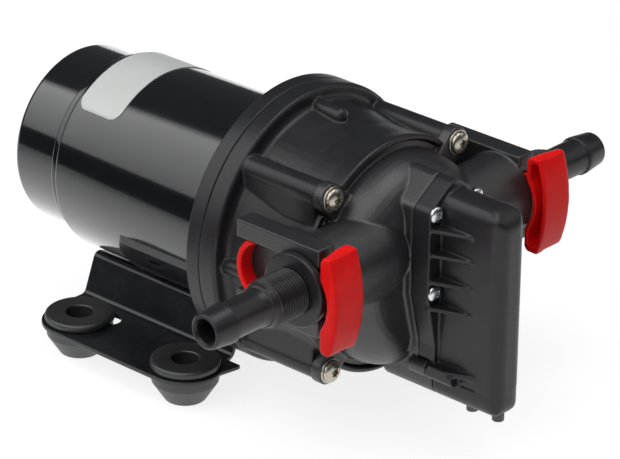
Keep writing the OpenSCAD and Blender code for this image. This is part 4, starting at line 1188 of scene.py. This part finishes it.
def make_dark_card():
    """Card that the camera doesn't see, which draws the dark stripe along the motor."""
    left, right = CARD_ENDS
    corners = ((left, CARD_FOOT), (right, CARD_FOOT), (right, CARD_TOP), (left, CARD_TOP))
    bm = bmesh.new()
    bm.faces.new([bm.verts.new((along, CARD_SIDE, rise)) for along, rise in corners])
    flag = place_object("dark_card", as_mesh(bm, "dark_card"))
    black = bpy.data.materials.new("Dark card")
    black.use_nodes = True
    shader = black.node_tree.nodes["Principled BSDF"]
    shader.inputs["Base Color"].default_value = CARD_COLOUR
    shader.inputs["Roughness"].default_value = 1.0
    flag.data.materials.append(black)
    flag.visible_camera = False
    flag.visible_shadow = False


def light_studio():
    """Soft lamps, with the key shaded, and a faint light from all around."""
    lamps = {name: soft_box(name, *setting) for name, setting in LAMPS.items()}
    shade_lamp(lamps["key_box"], KEY_LOW, KEY_HIGH, KEY_RIM)
    world = bpy.data.worlds.new("Studio")
    world.use_nodes = True
    around = world.node_tree.nodes["Background"]
    around.inputs["Color"].default_value = WORLD_COLOUR
    around.inputs["Strength"].default_value = WORLD_STRENGTH
    bpy.context.scene.world = world


class PUMP_OT_studio(Operator):
    """Builds the floor, the soft lamps, the dark card and the camera"""

    bl_idname = "pump.studio"
    bl_label = "Studio"

    def execute(self, context):
        make_floor(tuple(context.scene.pump_colours.floor))
        make_dark_card()
        light_studio()
        place_camera()
        context.scene.view_settings.view_transform = "Standard"
        return {"FINISHED"}


class PUMP_PT_panel(Panel):
    """Lists the building steps, the sizes and the colours"""

    bl_idname = "PUMP_PT_panel"
    bl_label = "Water pump"
    bl_space_type = "VIEW_3D"
    bl_region_type = "UI"
    bl_category = "Pump"

    def draw(self, context):
        layout = self.layout
        for step in STEPS:
            layout.operator(step.bl_idname)
        for group in (context.scene.pump_sizes, context.scene.pump_colours):
            box = layout.box()
            for key in group.__annotations__:
                box.prop(group, key)


STEPS = (PUMP_OT_works, PUMP_OT_motor, PUMP_OT_housing, PUMP_OT_fittings, PUMP_OT_clips, PUMP_OT_switch,
         PUMP_OT_screws, PUMP_OT_stand, PUMP_OT_studio)
CLASSES = (PumpSizes, PumpColours, *STEPS, PUMP_PT_panel)


def register():
    """Registers the classes and hangs the sizes and colours on the scene."""
    for entry in CLASSES:
        bpy.utils.register_class(entry)
    bpy.types.Scene.pump_sizes = PointerProperty(type=PumpSizes)
    bpy.types.Scene.pump_colours = PointerProperty(type=PumpColours)


def unregister():
    """Takes away what register added."""
    del bpy.types.Scene.pump_colours
    del bpy.types.Scene.pump_sizes
    for entry in reversed(CLASSES):
        bpy.utils.unregister_class(entry)


def main():
    """Builds the pump."""
    register()
    bpy.ops.pump.works()
    bpy.ops.pump.motor()
    bpy.ops.pump.housing()
    bpy.ops.pump.fittings()
    bpy.ops.pump.clips()
    bpy.ops.pump.switch()
    bpy.ops.pump.screws()
    bpy.ops.pump.stand()
    bpy.ops.pump.studio()


if __name__ == "__main__":
    main()
